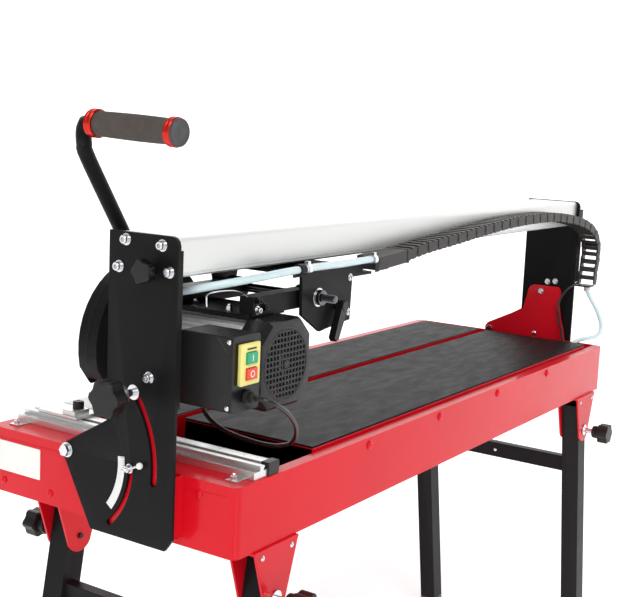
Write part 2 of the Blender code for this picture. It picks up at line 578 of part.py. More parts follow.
def head_arm():
    """Saddle on the motor with two bars that swing on the cross rod."""
    under = MOTOR_H + MOTOR_RADIUS + 0.0015
    arm = block("head_arm", (0.105, 0.074, under), (0.212, 0.244, under + 0.008), BLACK)
    for name, front, rear in (("front_bar", 0.069, 0.097), ("rear_bar", 0.214, 0.244)):
        join(arm, block(name, (0.118, front, FAN_COVER_HALF + MOTOR_H + 0.002), (0.272, rear, 0.273)),
             cylinder(name + "_boss", (ROD_X, front, ROD_H), (ROD_X, rear, ROD_H), 0.018))
        cut(arm, cylinder(name + "_bore", (ROD_X, front - 0.01, ROD_H), (ROD_X, rear + 0.01, ROD_H),
                          ROD_RADIUS + GAP))


def guard_outline(radius, floor):
    """D-shaped outline about the blade axis, with its near lower corner cut back."""
    low = math.degrees(math.asin(floor / radius))
    near = math.degrees(math.asin(-0.033 / radius))
    return [(-0.100, floor), *arc((0, 0), radius, low, 180 - near, 27)]


def blade_guard():
    front, rear = PIVOT_Y - GUARD_WIDTH / 2, PIVOT_Y + GUARD_WIDTH / 2
    outer = [(MOTOR_X + x, MOTOR_H + h) for x, h in guard_outline(GUARD_RADIUS, GUARD_FLOOR)]
    hollow = [(MOTOR_X + x, MOTOR_H + h) for x, h in guard_outline(GUARD_RADIUS - GUARD_WALL, GUARD_FLOOR - 0.005)]
    guard = profile_plate("blade_guard", "y", outer, front, rear, BLACK)
    opening = block("guard_opening", (MOTOR_X - 0.097, front + GUARD_WALL, MOTOR_H - 0.20),
                    (MOTOR_X + 0.112, rear - GUARD_WALL, MOTOR_H - 0.06))
    floor = MOTOR_H + GUARD_FLOOR
    relief = profile_plate("guard_bevel_relief", "x",
                           [(PIVOT_Y + 0.003, floor - 0.001), (rear + 0.001, floor - 0.001),
                            (rear + 0.001, floor + 0.018)], -0.01, 0.30)
    cut(guard, profile_plate("guard_hollow", "y", hollow, front + GUARD_WALL, rear - GUARD_WALL), opening, relief,
        cylinder("guard_shaft_hole", (MOTOR_X, front - 0.01, MOTOR_H), (MOTOR_X, front + 0.006, MOTOR_H), 0.038))
    turned("water_valve", (0.068, front - GAP, 0.255), (0, -1, 0),
           [(0.026, 0.0), (0.026, 0.0062), (0.010, 0.0065), (0.010, 0.010), (0.0, 0.010), (0.0, 0.0)], ZINC, sides=20)


def blade_set():
    """Blade clamped between an inner flange and a flanged nut."""
    axis = (MOTOR_X, 0.0, MOTOR_H)
    front, rear = PIVOT_Y - BLADE_THICKNESS / 2, PIVOT_Y + BLADE_THICKNESS / 2
    bore = SHAFT_RADIUS + GAP
    turned("inner_flange", axis, (0, 1, 0),
           [(front - GAP, 0.034), (0.3100, 0.034), (0.3100, bore), (front - GAP, bore)], ZINC)
    turned("saw_blade", axis, (0, 1, 0),
           [(rear, BLADE_RADIUS), (front, BLADE_RADIUS), (front, bore), (rear, bore)], STEEL, sides=64)
    turned("flange_nut", axis, (0, 1, 0),
           [(0.3370, bore), (0.3370, 0.018), (0.3285, 0.018), (0.3280, 0.034), (rear + GAP, 0.034),
            (rear + GAP, bore)], ZINC)


def handle():
    """Bent tube from the motor's end shield, over the beam, with its grip."""
    tube("handle_tube", [(0.1120, 0.258, 0.2240), (0.0900, 0.258, 0.2570), (-0.0640, 0.258, 0.4850),
                         (-0.0720, 0.2580, 0.5050), (-0.0748, 0.2570, 0.5240), (-0.0755, 0.2530, 0.5340),
                         (-0.0758, 0.2450, 0.53848), (-0.0780, 0.0800, 0.5310)], 0.0120, BLACK, resolution=4)
    along = Vector((-0.0022, -0.1650, -0.00748)).normalized()
    turned("handle_grip", (-0.0759, 0.2375, 0.53814), along,
           [(0.174, 0.0), (0.174, 0.019), (0.170, 0.0215), (0.161, 0.0215), (0.158, 0.0188), (0.012, 0.0188),
            (0.009, 0.0215), (0.002, 0.0215), (0.0, 0.020), (0.0, 0.0132), (0.164, 0.0132), (0.164, 0.0)], GRIP)


# ---- Legs ---------------------------------------------------------------------------------------------
def legs():
    for end, pivot_x, lean in (("near", LEG_PIVOT_NEAR, -1), ("far", LEG_PIVOT_FAR, 1)):
        swinging = []
        for row, y in LEG_ROWS.items():
            leg_bracket(end, row, pivot_x, y)
            swinging.append(leg(end, row, pivot_x, y, lean))
            leg_knob(end, row, pivot_x, y)
        swinging.append(crossbar(end, pivot_x, lean))
        hang_on(f"leg_fold_axis_{end}", (pivot_x, 0.0, LEG_PIVOT_H), *swinging)


def leg_bracket(end, row, x, y):
    """Channel under the tray with a rounded lug on each side of the leg."""
    name = f"leg_bracket_{end}_{row}"
    half = LEG / 2 + 0.001
    top = -TRAY_DEPTH - GAP
    bracket = block(name, (x - 0.060, y - half - 0.004, top - 0.005), (x + 0.060, y + half + 0.004, top), RED)
    slope = math.degrees(math.atan2(0.035, 0.060))
    lug = [(x - 0.060, top - 0.001), *arc((x, LEG_PIVOT_H), 0.030, 180 + slope, 360 - slope, 9),
           (x + 0.060, top - 0.001)]
    for side, low in (("outer", y - half - 0.004), ("inner", y + half)):
        join(bracket, profile_plate(f"{name}_{side}", "y", lug, low, low + 0.004))
    cut(bracket, cylinder(name + "_hole", (x, y - 0.06, LEG_PIVOT_H), (x, y + 0.06, LEG_PIVOT_H), 0.0055))


def leg(end, row, x, y, lean):
    """Square tube that leans outward, cut level at the floor."""
    name = f"leg_{end}_{row}"
    turn = Matrix.Rotation(-lean * math.radians(LEG_SPLAY), 4, "Y")
    pivot = Matrix.Translation(at(x, y, LEG_PIVOT_H))
    tilt = pivot @ turn @ pivot.inverted()
    half, inner, top = LEG / 2, LEG / 2 - LEG_WALL, LEG_PIVOT_H + 0.070
    post = block(name, (x - half, y - half, -0.900), (x + half, y + half, top), BLACK)
    bore = block(name + "_bore", (x - inner, y - inner, -0.910), (x + inner, y + inner, top + 0.01))
    hole = cylinder(name + "_hole", (x, y - 0.06, LEG_PIVOT_H), (x, y + 0.06, LEG_PIVOT_H), 0.0055)
    floor = block(name + "_floor", (x - 0.3, y - 0.1, -RIM_Z - 0.2), (x + 0.3, y + 0.1, -RIM_Z))
    for thing in (post, bore):
        thing.matrix_world = tilt
    cut(post, bore, hole, floor)
    return post


def crossbar(end, x, lean):
    """Tube between the two legs of an end."""
    middle = x + lean * math.tan(math.radians(LEG_SPLAY)) * 0.103
    front, rear = LEG_ROWS["front"] + LEG / 2 + GAP, LEG_ROWS["rear"] - LEG / 2 - GAP
    bar = block(f"crossbar_{end}", (middle - 0.012, front, -0.330), (middle + 0.012, rear, -0.290), BLACK)
    cut(bar, block(f"crossbar_{end}_bore", (middle - 0.0095, front - 0.01, -0.3275),
                   (middle + 0.0095, rear + 0.01, -0.2925)))
    return bar


def leg_knob(end, row, x, y):
    outward = -1 if row == "front" else 1
    seat = (x, y + outward * LUG_SEAT, LEG_PIVOT_H)
    knob = star_knob(f"leg_knob_{end}_{row}", "y", seat, (0, outward, 0), 0.026, 0.0048, 0.0595, LEG_KNOB_REACH)
    hang_on(f"leg_knob_axis_{end}_{row}", seat, knob)


# ---- Cords --------------------------------------------------------------------------------------------
POWER_CABLE = [(0.040, 0.0017, 0.134), (0.041, -0.014, 0.133), (0.052, -0.024, 0.1275), (0.075, -0.026, 0.115),
               (0.100, -0.024, 0.098), (0.124, -0.018, 0.077), (0.143, -0.006, 0.055), (0.156, 0.012, 0.037),
               (0.161, 0.038, 0.026), (0.160, 0.070, 0.023), (0.156, 0.102, 0.026), (0.152, 0.132, 0.031),
               (0.149, 0.158, 0.040), (0.146, 0.177, 0.053), (0.145, 0.188, 0.068), (0.145, 0.190, 0.0850)]
WATER_HOSE = [(0.461, 0.0490, 0.312), (0.420, 0.0470, 0.3125), (0.340, 0.0460, 0.3120), (0.260, 0.0455, 0.3130),
              (0.180, 0.0460, 0.3120), (0.120, 0.0500, 0.3090), (0.075, 0.0620, 0.3045), (0.041, 0.0850, 0.2980),
              (0.022, 0.1150, 0.2900), (0.014, 0.1500, 0.2810), (0.016, 0.1850, 0.2730), (0.030, 0.2150, 0.2650),
              (0.050, 0.2400, 0.2585), (0.0625, 0.2560, 0.2553), (0.0660, 0.2720, 0.2550)]
PUMP_LEAD = [(1.6000, 0.0810, 0.1580), (1.5880, 0.0805, 0.1600), (1.5780, 0.0860, 0.1560), (1.5730, 0.1000, 0.1440),
             (1.5720, 0.1130, 0.1250), (1.5720, 0.1220, 0.1000), (1.5720, 0.1220, 0.0740), (1.5710, 0.1150, 0.0480),
             (1.5690, 0.1070, 0.0240), (1.5660, 0.1020, 0.0000), (1.5620, 0.1070, -0.0220), (1.5540, 0.1170, -0.0440),
             (1.5410, 0.1280, -0.0640), (1.5250, 0.1380, -0.0780), (1.5120, 0.1440, -0.0825), (1.5003, 0.1450, -0.0830)]
PUMP_HOSE = [(1.6250, 0.0660, 0.1482), (1.6262, 0.0655, 0.1375), (1.6380, 0.0600, 0.1180), (1.6520, 0.0500, 0.0940),
             (1.6565, 0.0390, 0.0700), (1.6585, 0.0310, 0.0470), (1.6520, 0.0290, 0.0270), (1.6320, 0.0340, 0.0150),
             (1.6080, 0.0450, 0.0120), (1.5860, 0.0600, 0.0090), (1.5690, 0.0760, -0.0040), (1.5600, 0.0890, -0.0250),
             (1.5530, 0.1000, -0.0480), (1.5400, 0.1090, -0.0680), (1.5230, 0.1140, -0.0800), (1.5045, 0.1150, -0.0828)]


def cords():
    tube("power_cable", POWER_CABLE, 0.0038, PLASTIC, spacing=0.018)
    tube("water_hose", WATER_HOSE, 0.0065, HOSE, spacing=0.030)
    tube("pump_lead", PUMP_LEAD, 0.0030, PLASTIC, spacing=0.015)
    tube("pump_hose", PUMP_HOSE, 0.0055, HOSE, spacing=0.022)


water_tray()
table()
fence()
water_pump()
tilt_brackets()
end_plates()
pivot_bolts()
guide_beam()
bevel_knobs()
drag_chain()
carriage()
wheel_sets()
motor()
fan_cover()
cooling_fan()
switch_gear()
head_arm()
blade_guard()
blade_set()
handle()
legs()
cords()
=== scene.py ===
"""Looks of the wet tile saw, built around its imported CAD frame.

Places are given on the bench, as in the CAD: x from the tray's near end, y from its front, h above its rim,
all in metres.  Every piece is made there and then turned into the frame's own coordinates by at().
"""

import json
import math

import bmesh
import bpy
from mathutils import Matrix, Vector

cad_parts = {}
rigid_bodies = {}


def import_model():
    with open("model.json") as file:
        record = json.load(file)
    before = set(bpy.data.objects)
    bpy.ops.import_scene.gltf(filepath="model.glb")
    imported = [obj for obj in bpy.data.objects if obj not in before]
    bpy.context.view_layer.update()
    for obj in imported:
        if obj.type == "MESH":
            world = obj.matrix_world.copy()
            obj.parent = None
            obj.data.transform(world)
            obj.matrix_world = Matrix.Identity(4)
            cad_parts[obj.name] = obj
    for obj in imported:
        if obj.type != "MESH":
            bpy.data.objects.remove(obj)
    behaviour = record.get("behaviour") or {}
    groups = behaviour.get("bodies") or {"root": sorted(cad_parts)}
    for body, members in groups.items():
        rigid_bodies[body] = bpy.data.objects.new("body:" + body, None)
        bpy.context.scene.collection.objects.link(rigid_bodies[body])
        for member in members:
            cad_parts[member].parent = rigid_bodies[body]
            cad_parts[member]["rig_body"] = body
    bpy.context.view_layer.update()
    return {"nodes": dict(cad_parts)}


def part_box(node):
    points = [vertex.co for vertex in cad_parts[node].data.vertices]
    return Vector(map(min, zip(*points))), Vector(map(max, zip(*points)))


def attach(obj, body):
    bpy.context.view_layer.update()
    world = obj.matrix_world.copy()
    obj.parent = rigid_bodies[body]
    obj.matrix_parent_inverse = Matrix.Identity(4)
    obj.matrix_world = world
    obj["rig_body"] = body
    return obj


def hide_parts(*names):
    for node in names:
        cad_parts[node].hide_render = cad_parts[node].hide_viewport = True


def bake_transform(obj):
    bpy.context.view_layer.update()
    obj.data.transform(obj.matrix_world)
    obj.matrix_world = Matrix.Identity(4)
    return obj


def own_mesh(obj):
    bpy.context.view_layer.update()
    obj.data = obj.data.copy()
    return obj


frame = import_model()

# ---- Bench ----
TRAY_LOW, TRAY_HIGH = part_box("water_tray")
TRAY_WIDTH = TRAY_HIGH.y - TRAY_LOW.y
PIVOT_Y, PIVOT_H = 0.322, 0.007   # the bevel axis, in the blade's plane
LOCK_RADIUS, LOCK_ANGLE = 0.187, 40
NEAR_FACE = -0.037                # outer face of the near end plate
FAR_FACE = 1.5903                 # inner face of the far end plate
FAR_OUTSIDE = FAR_FACE + 0.006
MOTOR_X, MOTOR_H = 0.145, 0.168
MOTOR = (MOTOR_X, MOTOR_H)
GUARD_FACE = 0.021                # from the blade's plane to the guard's faces
LEG_ENDS = (("near", 0.105, -1), ("far", 1.485, 1))       # name, fold axis, way the leg leans
LEG_ROWS = (("front", 0.0225, -1), ("rear", 0.4595, 1))   # name, leg's middle, way out
FOLD_H, FLOOR_H = -0.207, -0.85
FACING = {"x": Matrix(((0, 0, 1), (1, 0, 0), (0, 1, 0))), "y": Matrix(((1, 0, 0), (0, 0, 1), (0, 1, 0))),
          "z": Matrix.Identity(3)}
BENCH = Matrix.Translation((TRAY_LOW.x, TRAY_LOW.y, TRAY_HIGH.z))


def at(x, y, h):
    return BENCH @ Vector((x, y, h))


def finish(name, colour, rough, metal=0.0, tint=0.1, patch=7.0, spread=0.1, grain=420.0, bump=0.05,
           stretch=(1, 1, 1), wear=0.0, sockets=None):
    """Principled material with patches of tint, uneven gloss, a fine bump and lighter edges.
    """
    made = bpy.data.materials.new(name)
    made.use_nodes = True
    tree = made.node_tree
    shader = tree.nodes["Principled BSDF"]
    shader.inputs["Metallic"].default_value = metal
    for socket, value in (sockets or {}).items():
        shader.inputs[socket].default_value = value

    def node(kind, **inputs):
        thing = tree.nodes.new("ShaderNode" + kind)
        for key, value in inputs.items():
            thing.inputs[key.replace("_", " ")].default_value = value
        return thing

    place = node("TexCoord")
    spot = node("Mapping", Scale=stretch)
    tree.links.new(place.outputs["Object"], spot.inputs["Vector"])

    def noise(scale, detail):
        thing = node("TexNoise", Scale=scale, Detail=detail, Roughness=0.6)
        tree.links.new(spot.outputs["Vector"], thing.inputs["Vector"])
        return thing.outputs["Fac"]

    large, fine = noise(patch, 5.0), noise(grain, 3.0)
    ramp = node("ValToRGB")
    ramp.color_ramp.elements[0].position, ramp.color_ramp.elements[1].position = 0.3, 0.7
    for element, sign in zip(ramp.color_ramp.elements, (-1, 1)):
        element.color = (*(min(1.0, part * (1 + sign * tint)) for part in colour), 1.0)
    tree.links.new(large, ramp.inputs["Fac"])
    colour_out = ramp.outputs["Color"]
    if wear:
        shape = node("NewGeometry")
        edge = node("ValToRGB")
        edge.color_ramp.elements[0].position, edge.color_ramp.elements[1].position = 0.505, 0.56
        tree.links.new(shape.outputs["Pointiness"], edge.inputs["Fac"])
        mix = tree.nodes.new("ShaderNodeMix")
        mix.data_type = "RGBA"
        strength = node("Math")
        strength.operation = "MULTIPLY"
        strength.inputs[1].default_value = wear
        tree.links.new(edge.outputs["Color"], strength.inputs[0])
        tree.links.new(strength.outputs[0], mix.inputs["Factor"])
        tree.links.new(colour_out, mix.inputs["A"])
        mix.inputs["B"].default_value = (*(0.55 * part + 0.3 for part in colour), 1.0)
        colour_out = mix.outputs["Result"]
    tree.links.new(colour_out, shader.inputs["Base Color"])
    gloss = node("MapRange", To_Min=max(0.03, rough - spread), To_Max=min(1.0, rough + spread))
    middle = noise(patch * 6, 4.0)
    tree.links.new(middle, gloss.inputs["Value"])
    tree.links.new(gloss.outputs["Result"], shader.inputs["Roughness"])
    relief = node("Bump", Strength=min(1.0, bump * 4), Distance=0.0004)
    tree.links.new(fine, relief.inputs["Height"])
    tree.links.new(relief.outputs["Normal"], shader.inputs["Normal"])
    return made


RED = finish("red_enamel", (0.66, 0.0055, 0.016), 0.3, tint=0.06, patch=3.0, spread=0.05,
             grain=900, bump=0.012,
             sockets={"Specular IOR Level": 0.12, "Coat Weight": 0.22, "Coat Roughness": 0.08})
BLACK = finish("black_powder_coat", (0.0034, 0.003, 0.0038), 0.36, tint=0.22, patch=5.0,
               spread=0.08, grain=1500, bump=0.05, wear=0.04, sockets={"Specular IOR Level": 0.09})
BEAM = finish("satin_anodised_aluminium", (0.74, 0.745, 0.73), 0.38, 0.75, tint=0.03,
              patch=2.0, spread=0.05, grain=900, bump=0.03, stretch=(0.03, 1, 1))
CAST = finish("cast_aluminium", (0.93, 0.94, 0.95), 0.36, 0.15, tint=0.1, patch=20, grain=700,
              bump=0.1)
MILLED = finish("milled_aluminium", (0.72, 0.72, 0.71), 0.3, 0.9, tint=0.05, patch=12,
                grain=900, bump=0.04, stretch=(1, 0.05, 1))
CHROME = finish("zinc_plated_steel", (0.7, 0.71, 0.73), 0.16, 1.0, tint=0.05, patch=60,
                spread=0.06, grain=1500, bump=0.02)
STEEL = finish("ground_steel", (0.46, 0.47, 0.48), 0.26, 1.0, tint=0.08, patch=30,
               grain=1200, bump=0.05)
DARK_ROD = finish("oiled_steel_rod", (0.14, 0.14, 0.15), 0.18, 1.0, tint=0.1, patch=30,
                  grain=900, bump=0.02)
GRIT = finish("diamond_grit", (0.2, 0.18, 0.15), 0.75, 0.3, tint=0.3, patch=300, grain=2500,
              bump=0.25)
MAT = finish("mat_rubber", (0.0115, 0.01, 0.0108), 0.5, tint=0.34, patch=9, spread=0.16,
             grain=2600, bump=0.1, stretch=(0.35, 1, 1), sockets={"Specular IOR Level": 0.09})
PLASTIC = finish("black_moulded_plastic", (0.0085, 0.008, 0.0078), 0.36, tint=0.18,
                 patch=25, grain=1800, bump=0.06, wear=0.05, sockets={"Specular IOR Level": 0.24})
GLOSSY = finish("polished_black_plastic", (0.0065, 0.006, 0.006), 0.24, tint=0.1, patch=30,
                spread=0.06, grain=900, bump=0.02, sockets={"Specular IOR Level": 0.32})
LINK = finish("chain_plastic", (0.015, 0.0105, 0.0095), 0.4, tint=0.24, patch=40,
              grain=1500, bump=0.06, wear=0.08, sockets={"Specular IOR Level": 0.2})
GRIP = finish("grip_rubber", (0.074, 0.06, 0.054), 0.66, tint=0.14, patch=60, grain=1800,
              bump=0.2, sockets={"Specular IOR Level": 0.35})
ANODISED = finish("red_anodised_ring", (0.62, 0.02, 0.01), 0.22, 0.75, tint=0.08, patch=40,
                  grain=900, bump=0.02)
CAP_GREY = finish("grip_cap", (0.046, 0.044, 0.048), 0.44, tint=0.18, patch=90, grain=1500,
                  bump=0.08)
YELLOW = finish("switch_frame", (0.84, 0.76, 0.24), 0.36, tint=0.04, patch=40, grain=1200,
                bump=0.03)
GREEN = finish("start_button_plastic", (0.01, 0.36, 0.17), 0.3, tint=0.06, patch=60,
               grain=900, bump=0.02)
STOP = finish("stop_button_plastic", (0.78, 0.05, 0.014), 0.3, tint=0.06, patch=60,
              grain=900, bump=0.02)
WHITE = finish("white_plastic", (0.86, 0.86, 0.84), 0.32, tint=0.03, patch=30, grain=1200,
               bump=0.02)
LABEL = finish("blank_label", (0.86, 0.84, 0.8), 0.42, tint=0.03, patch=30, grain=700,
               bump=0.03)
HOSE = finish("clear_water_hose", (0.74, 0.9, 0.93), 0.14, tint=0.05, patch=30, spread=0.04,
              grain=600, bump=0.02, sockets={"Transmission Weight": 0.2, "IOR": 1.35, "Coat Weight": 0.5})
RUBBER = finish("cable_rubber", (0.01, 0.009, 0.009), 0.22, tint=0.12, patch=60,
                grain=1600, bump=0.05)
COPPER = finish("enamelled_copper", (0.5, 0.17, 0.06), 0.34, 0.9, tint=0.12, patch=200,
                grain=1500, bump=0.2)
PAPER = finish("studio_paper", (0.93, 0.93, 0.93), 0.9, tint=0.01, patch=1.0, grain=60, bump=0.0,
               sockets={"Emission Color": (1, 1, 1, 1), "Emission Strength": 0.35,
                        "Specular IOR Level": 0.0})


# ---- Shapes ----
def show(name, bm, material, body=None, edge=0.0, segments=2, crease=32, slot=None):
    """A finished piece from a bmesh, with rounded edges, riding on its body."""
    bmesh.ops.recalc_face_normals(bm, faces=bm.faces)
    mesh = bpy.data.meshes.new(name)
    bm.to_mesh(mesh)
    bm.free()
    thing = bpy.data.objects.new(name, mesh)
    bpy.context.scene.collection.objects.link(thing)
    mesh.materials.append(material)
    mesh.shade_smooth()
    mesh.set_sharp_from_angle(angle=math.radians(crease))
    if edge:
        bevel = thing.modifiers.new("rounded_edges", "BEVEL")
        bevel.width, bevel.segments, bevel.limit_method = edge, segments, "ANGLE"
        bevel.angle_limit = math.radians(crease)
        bevel.harden_normals = True
    if body:
        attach(thing, body)
    return thing


def piece(name, material, body, *shapes, **look):
    """A finished piece from shapes, each given as its function and what that takes after the bmesh."""
    bm = bmesh.new()
    for shape, *given in shapes:
        shape(bm, *given)
    return show(name, bm, material, body, **look)


def skin(node, material, edge=0.0012, segments=2, crease=32, corner=0.0):
    """The CAD node's own shape with its flat faces merged and its edges rounded, standing for it.

    A corner radius also rounds the upright edges at the four corners of the node's box.
    """
    source = frame["nodes"][node]
    bm = bmesh.new()
    corners = [bm.verts.new(v.co) for v in source.data.vertices]
    for face in source.data.polygons:
        bm.faces.new([corners[i] for i in face.vertices])
    bmesh.ops.remove_doubles(bm, verts=bm.verts, dist=0.00003)
    bmesh.ops.dissolve_limit(bm, angle_limit=math.radians(0.6), verts=bm.verts, edges=bm.edges)
    if corner:
        low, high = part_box(node)
        tall = 0.5 * (high.z - low.z)
        upright = [side for side in bm.edges if abs(side.verts[0].co.z - side.verts[1].co.z) > tall
                   and all(min(abs(end.co[i] - low[i]), abs(end.co[i] - high[i])) < 0.001
                           for end in side.verts for i in (0, 1))]
        bmesh.ops.bevel(bm, geom=upright, offset=corner, segments=5, profile=0.5, affect="EDGES")
    thing = show(node + "_skin", bm, material, source["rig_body"], edge, segments, crease)
    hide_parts(node)
    return thing


def aim(origin, toward):
    """Matrix whose Z points along toward, from a bench place."""
    turn = Vector(toward).to_track_quat("Z", "Y").to_matrix().to_4x4()
    return Matrix.Translation(at(*origin)) @ turn


def face(bm, corners):
    if len(set(corners)) == len(corners):
        bm.faces.new(corners)


def turned(bm, origin, toward, profile, sides=32):
    """Turned shape from (along, radius) points; it is closed on itself where it starts off the axis."""
    place = aim(origin, toward)
    rings = []
    for along, radius in profile:
        if radius < 1e-6:
            rings.append([bm.verts.new(place @ Vector((0, 0, along)))])
            continue
        turns = [2 * math.pi * i / sides for i in range(sides)]
        rings.append([bm.verts.new(place @ Vector((radius * math.cos(t), radius * math.sin(t), along)))
                      for t in turns])
    pairs = list(zip(rings, rings[1:]))
    if len(rings[0]) > 1 and len(rings[-1]) > 1:
        pairs.append((rings[-1], rings[0]))
    for low, high in pairs:
        for i in range(sides if max(len(low), len(high)) > 1 else 0):
            j = (i + 1) % sides
            if len(low) == 1:
                face(bm, [low[0], high[i], high[j]])
            elif len(high) == 1:
                face(bm, [low[i], high[0], low[j]])
            else:
                face(bm, [low[i], high[i], high[j], low[j]])


def block(bm, low, high):
    low, high = at(*low), at(*high)
    size = [abs(b - a) for a, b in zip(low, high)]
    bmesh.ops.create_cube(bm, size=1.0,
                          matrix=Matrix.Translation((low + high) / 2) @ Matrix.Diagonal((*size, 1)))


def loft(bm, low, high):
    """Faces between two rings of as many corners."""
    for i in range(len(low)):
        j = (i + 1) % len(low)
        bm.faces.new([low[i], low[j], high[j], high[i]])


def extrude(bm, outline, place, low, high):
    """Prism over a flat outline, along the place's Z."""
    bottom = [bm.verts.new(place @ Vector((*point, low))) for point in outline]
    top = [bm.verts.new(place @ Vector((*point, high))) for point in outline]
    bm.faces.new(bottom)
    bm.faces.new(top[::-1])
    loft(bm, bottom, top)


def prism(bm, outline, facing, low, high):
    extrude(bm, outline, BENCH @ FACING[facing].to_4x4(), low, high)


def pierced(bm, outline, holes, facing, low, high):
    """Plate with holes, filled between its outlines."""
    curve = bpy.data.curves.new("outline", "CURVE")
    curve.dimensions, curve.fill_mode = "2D", "BOTH"
    curve.extrude = (high - low) / 2
    for ring in (outline, *holes):
        spline = curve.splines.new("POLY")
        spline.points.add(len(ring) - 1)
        spline.use_cyclic_u = True
        for point, (u, v) in zip(spline.points, ring):
            point.co = (u, v, 0, 1)
    flat = bpy.data.objects.new("outline", curve)
    bpy.context.scene.collection.objects.link(flat)
    bpy.context.view_layer.update()
    mesh = bpy.data.meshes.new_from_object(flat.evaluated_get(bpy.context.evaluated_depsgraph_get()))
    bpy.data.objects.remove(flat)
    mesh.transform(BENCH @ FACING[facing].to_4x4() @ Matrix.Translation((0, 0, (low + high) / 2)))
    start = len(bm.verts)
    bm.from_mesh(mesh)
    bm.verts.ensure_lookup_table()
    bmesh.ops.remove_doubles(bm, verts=bm.verts[start:], dist=0.00002)
    bpy.data.meshes.remove(mesh)


def arc(centre, radius, first, last, count):
    angles = [math.radians(first + (last - first) * i / (count - 1)) for i in range(count)]
    return [(centre[0] + radius * math.cos(a), centre[1] + radius * math.sin(a)) for a in angles]


def around(radius, degrees):
    """Point in the motor's own (x, h) plane, turned about its shaft."""
    turn = math.radians(degrees)
    return MOTOR_X + radius * math.cos(turn), MOTOR_H + radius * math.sin(turn)


def circle(centre, radius, count=32):
    return arc(centre, radius, 0, 360 * (count - 1) / count, count)


def rounded(low, high, radius, count=5):
    """Rectangle outline with round corners."""
    corners = (((high[0] - radius, high[1] - radius), 0), ((low[0] + radius, high[1] - radius), 90),
               ((low[0] + radius, low[1] + radius), 180), ((high[0] - radius, low[1] + radius), 270))
    return [point for centre, first in corners for point in arc(centre, radius, first, first + 90, count)]


def smooth_route(route, spacing):
    """Points about a spacing apart on a Catmull-Rom curve through the route."""
    nodes = [Vector(point) for point in route]
    nodes = [2 * nodes[0] - nodes[1]] + nodes + [2 * nodes[-1] - nodes[-2]]
    smooth = []
    for before, start, end, after in zip(nodes, nodes[1:], nodes[2:], nodes[3:]):
        steps = max(1, round((end - start).length / spacing))
        for step in range(steps):
            t = step / steps
            smooth.append(0.5 * (2 * start + (end - before) * t
                                 + (2 * before - 5 * start + 4 * end - after) * t * t
                                 + (3 * start - 3 * end + after - before) * t ** 3))
    return smooth + [nodes[-2]]


def swept(bm, points, radius, sides=16):
    """Round tube along bench points, turned as little as possible from ring to ring."""
    points = [at(*p) for p in points]
    side = None
    rings = []
    for i, point in enumerate(points):
        along = (points[min(i + 1, len(points) - 1)] - points[max(i - 1, 0)]).normalized()
        if side is None:
            side = along.orthogonal()
        side = (side - along * side.dot(along)).normalized()
        up = along.cross(side)
        size = radius(i / (len(points) - 1)) if callable(radius) else radius
        turns = [2 * math.pi * k / sides for k in range(sides)]
        rings.append([bm.verts.new(point + (side * math.cos(t) + up * math.sin(t)) * size) for t in turns])
    for low, high in zip(rings, rings[1:]):
        loft(bm, low, high)
    bm.faces.new(rings[0][::-1])
    bm.faces.new(rings[-1])
    return points


# ---- Fasteners ----
def cap_screw(bm, origin, outward, radius, height):
    """Cylinder head on a washer and a spring washer, with a socket."""
    seat = 0.0026
    turned(bm, origin, outward,
           [(0, 0), (0, radius * 1.42), (0.0012, radius * 1.42), (0.0013, radius * 1.15),
            (seat, radius * 1.15), (seat + 0.0001, radius * 0.96), (seat + 0.0006, radius),
            (height - 0.0009, radius), (height, radius - 0.0009), (height, radius * 0.56),
            (height - radius * 0.7, radius * 0.5), (height - radius * 0.7, 0)], 24)


def hex_nut(bm, origin, outward, across, height, stud=0.0, washer=1.25):
    """Hexagon nut on a washer, with the stud's end standing out of it."""
    turned(bm, origin, outward, [(0, 0), (0, across * washer / 1.7), (0.0014, across * washer / 1.7),
                                 (0.0014, 0)], 28)
    hexagon = circle((0, 0), across / math.sqrt(3), 6)
    place = aim(origin, outward)
    extrude(bm, hexagon, place, 0.0015, height - 0.0006)
    extrude(bm, [(x * 0.88, y * 0.88) for x, y in hexagon], place, height - 0.0006, height)
    if stud:
        turned(bm, origin, outward,
               [(height, 0), (height, across * 0.29), (height + stud - 0.0007, across * 0.29),
                (height + stud, across * 0.24), (height + stud, 0)], 20)


def dome_screw(bm, origin, outward, radius, height=0.003):
    """Low domed head with a cross recess."""
    turned(bm, origin, outward,
           [(0, 0), (0, radius), (height * 0.35, radius), (height * 0.75, radius * 0.78),
            (height, radius * 0.42), (height * 0.97, radius * 0.22), (height * 0.45, radius * 0.12),
            (height * 0.45, 0)], 20)


def screws(name, body, kind, places, outward, *size, material=CHROME, slot=None):
    return piece(name, material, body, *((kind, place, outward, *size) for place in places), slot=slot)


